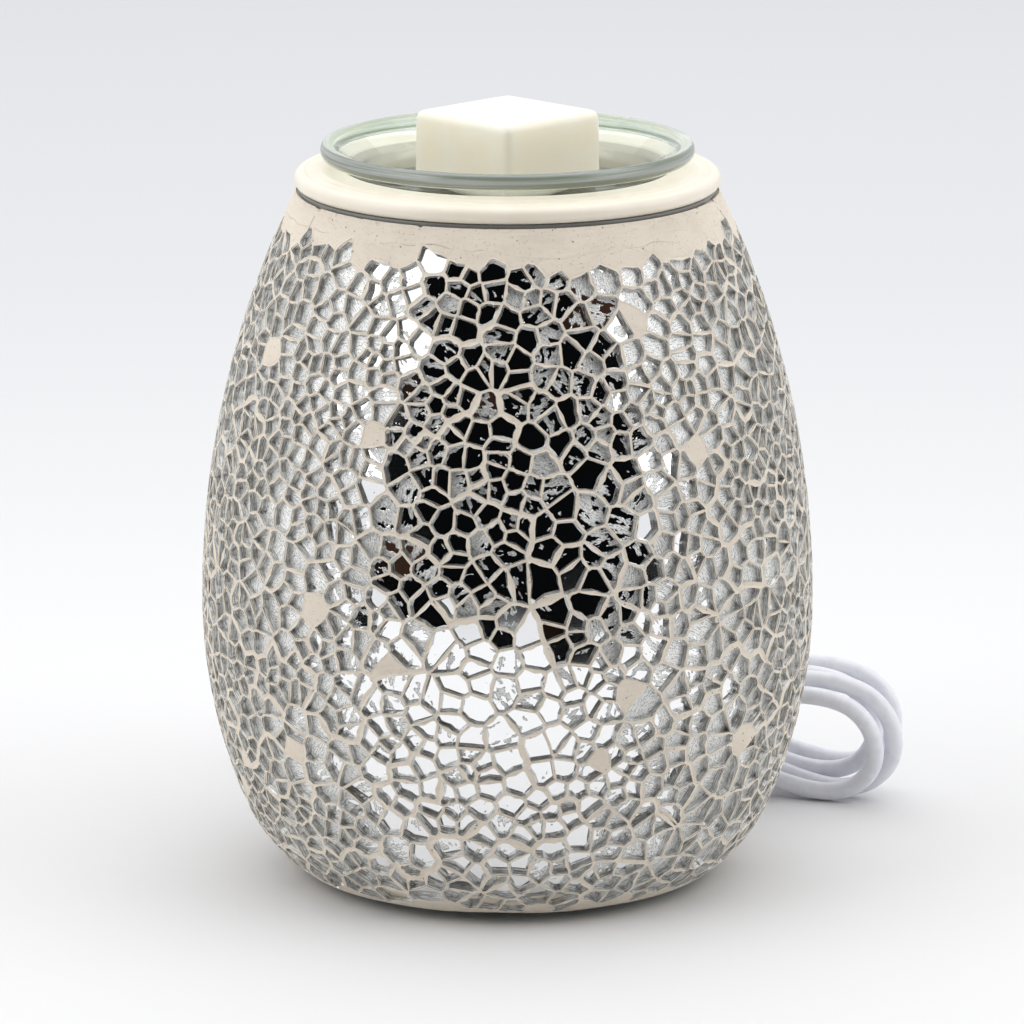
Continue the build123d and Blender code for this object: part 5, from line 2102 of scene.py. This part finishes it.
    def build(self, material: bpy.types.Material) -> bpy.types.Object:
        """Make the cord as one smooth spline with a round section.

        Args:
            material: the sheath.

        Returns:
            The cord.
        """
        points = self.route() * MM
        curve = bpy.data.curves.new("mains_cord", "CURVE")
        curve.dimensions = "3D"
        spline = curve.splines.new("NURBS")
        spline.points.add(len(points) - 1)
        spline.points.foreach_set("co", np.concatenate([points, np.ones((len(points), 1))], 1).reshape(-1))
        spline.order_u = 3
        spline.use_endpoint_u = True
        spline.use_smooth = True
        curve.resolution_u = 10
        curve.bevel_depth = self.diameter / 2 * MM
        curve.bevel_resolution = 5
        curve.use_fill_caps = True
        piece = bpy.data.objects.new("mains_cord", curve)
        bpy.context.scene.collection.objects.link(piece)
        curve.materials.append(material)
        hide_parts("cord_lead", "cord_hank", "cord_tail", "cord_end")
        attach(piece, "housing")
        on_it = ["hank_tie", "switch_base", "switch_cover", "switch_rocker", "switch_screws", "switch_necks"]
        on_it += ["plug_body", "plug_pins"]
        return piece


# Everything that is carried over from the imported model


class Hardware:
    """The carried-over nodes and the finish of each."""

    LOOKS: dict[Look, tuple[str, ...]] = {
        Look.BODY_GLASS: ("glass_vessel", "glass_floor"),
        Look.CAP: ("base_cap",),
        Look.FEET: ("base_feet", "soft_washer"),
        Look.FOAM: ("base_gasket",),
        Look.STEEL: (
            "stem",
            "steel_washer",
            "stem_nuts",
            "holder_bracket",
            "holder_screws",
            "lamp_pins",
            "switch_screws",
        ),
        Look.CLAY: ("lamp_holder",),
        Look.BRASS: ("holder_contacts", "plug_pins"),
        Look.GLAZE: ("lamp_base",),
        Look.REFLECTOR: ("lamp_reflector",),
        Look.LAMP_GLASS: ("lamp_lens", "lamp_capsule"),
        Look.SHEATH: (
            "cord_bushing",
            "cord_inner",
            "switch_base",
            "switch_cover",
            "switch_rocker",
            "switch_necks",
            "plug_body",
        ),
        Look.WIRE: ("joint_caps", "core_wires", "holder_wires"),
        Look.TIE: ("hank_tie",),
    }

    def dress(self, paints: Paintbox) -> None:
        """Give every carried-over node its material."""
        for look, names in self.LOOKS.items():
            for name in names:
                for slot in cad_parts[name].material_slots:
                    slot.material = paints.get(look)
                LOG.info("node %s: %s", name, look.name.lower())


def join_body(pieces: list[bpy.types.Object]) -> None:
    """Let pieces ride on the body."""
    for piece in pieces:
        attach(piece, "housing")


def main() -> None:
    """Build the scene: camera and cord first, then the body, the top and the hardware."""
    logging.basicConfig(level=logging.INFO, format="%(message)s")
    paints = Paintbox()
    shape = BodyShape()
    studio = Studio()
    studio.camera()
    pieces = [MainsCord(shape).build(paints.get(Look.SHEATH))]
    mosaic = Mosaic(shape)
    chips, grout = mosaic.build(paints.get(Look.MIRROR), paints.get(Look.EDGE), paints.get(Look.GROUT))
    for piece in chips:
        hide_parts("mirror_mosaic")
    join_body(chips)
    grout += GroutBands(shape, mosaic).build(paints.get(Look.GROUT))
    for piece in grout:
        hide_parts("grout_coat")
    join_body(grout)
    pieces += chips + grout
    pieces.append(Collar().build(shape, paints.get(Look.ENAMEL)))
    pieces.append(Bead().build(paints.get(Look.BEAD)))
    pieces.append(Dish().build(paints.get(Look.DISH_GLASS), paints.get(Look.RIM_GLASS)))
    pieces.append(WaxCube().build(paints.get(Look.WAX)))
    Hardware().dress(paints)
    pieces += studio.build()
    for piece in pieces:
        LOG.info("piece %s: %s", piece.name, piece.type.lower())


if __name__ == "__main__":
    main()
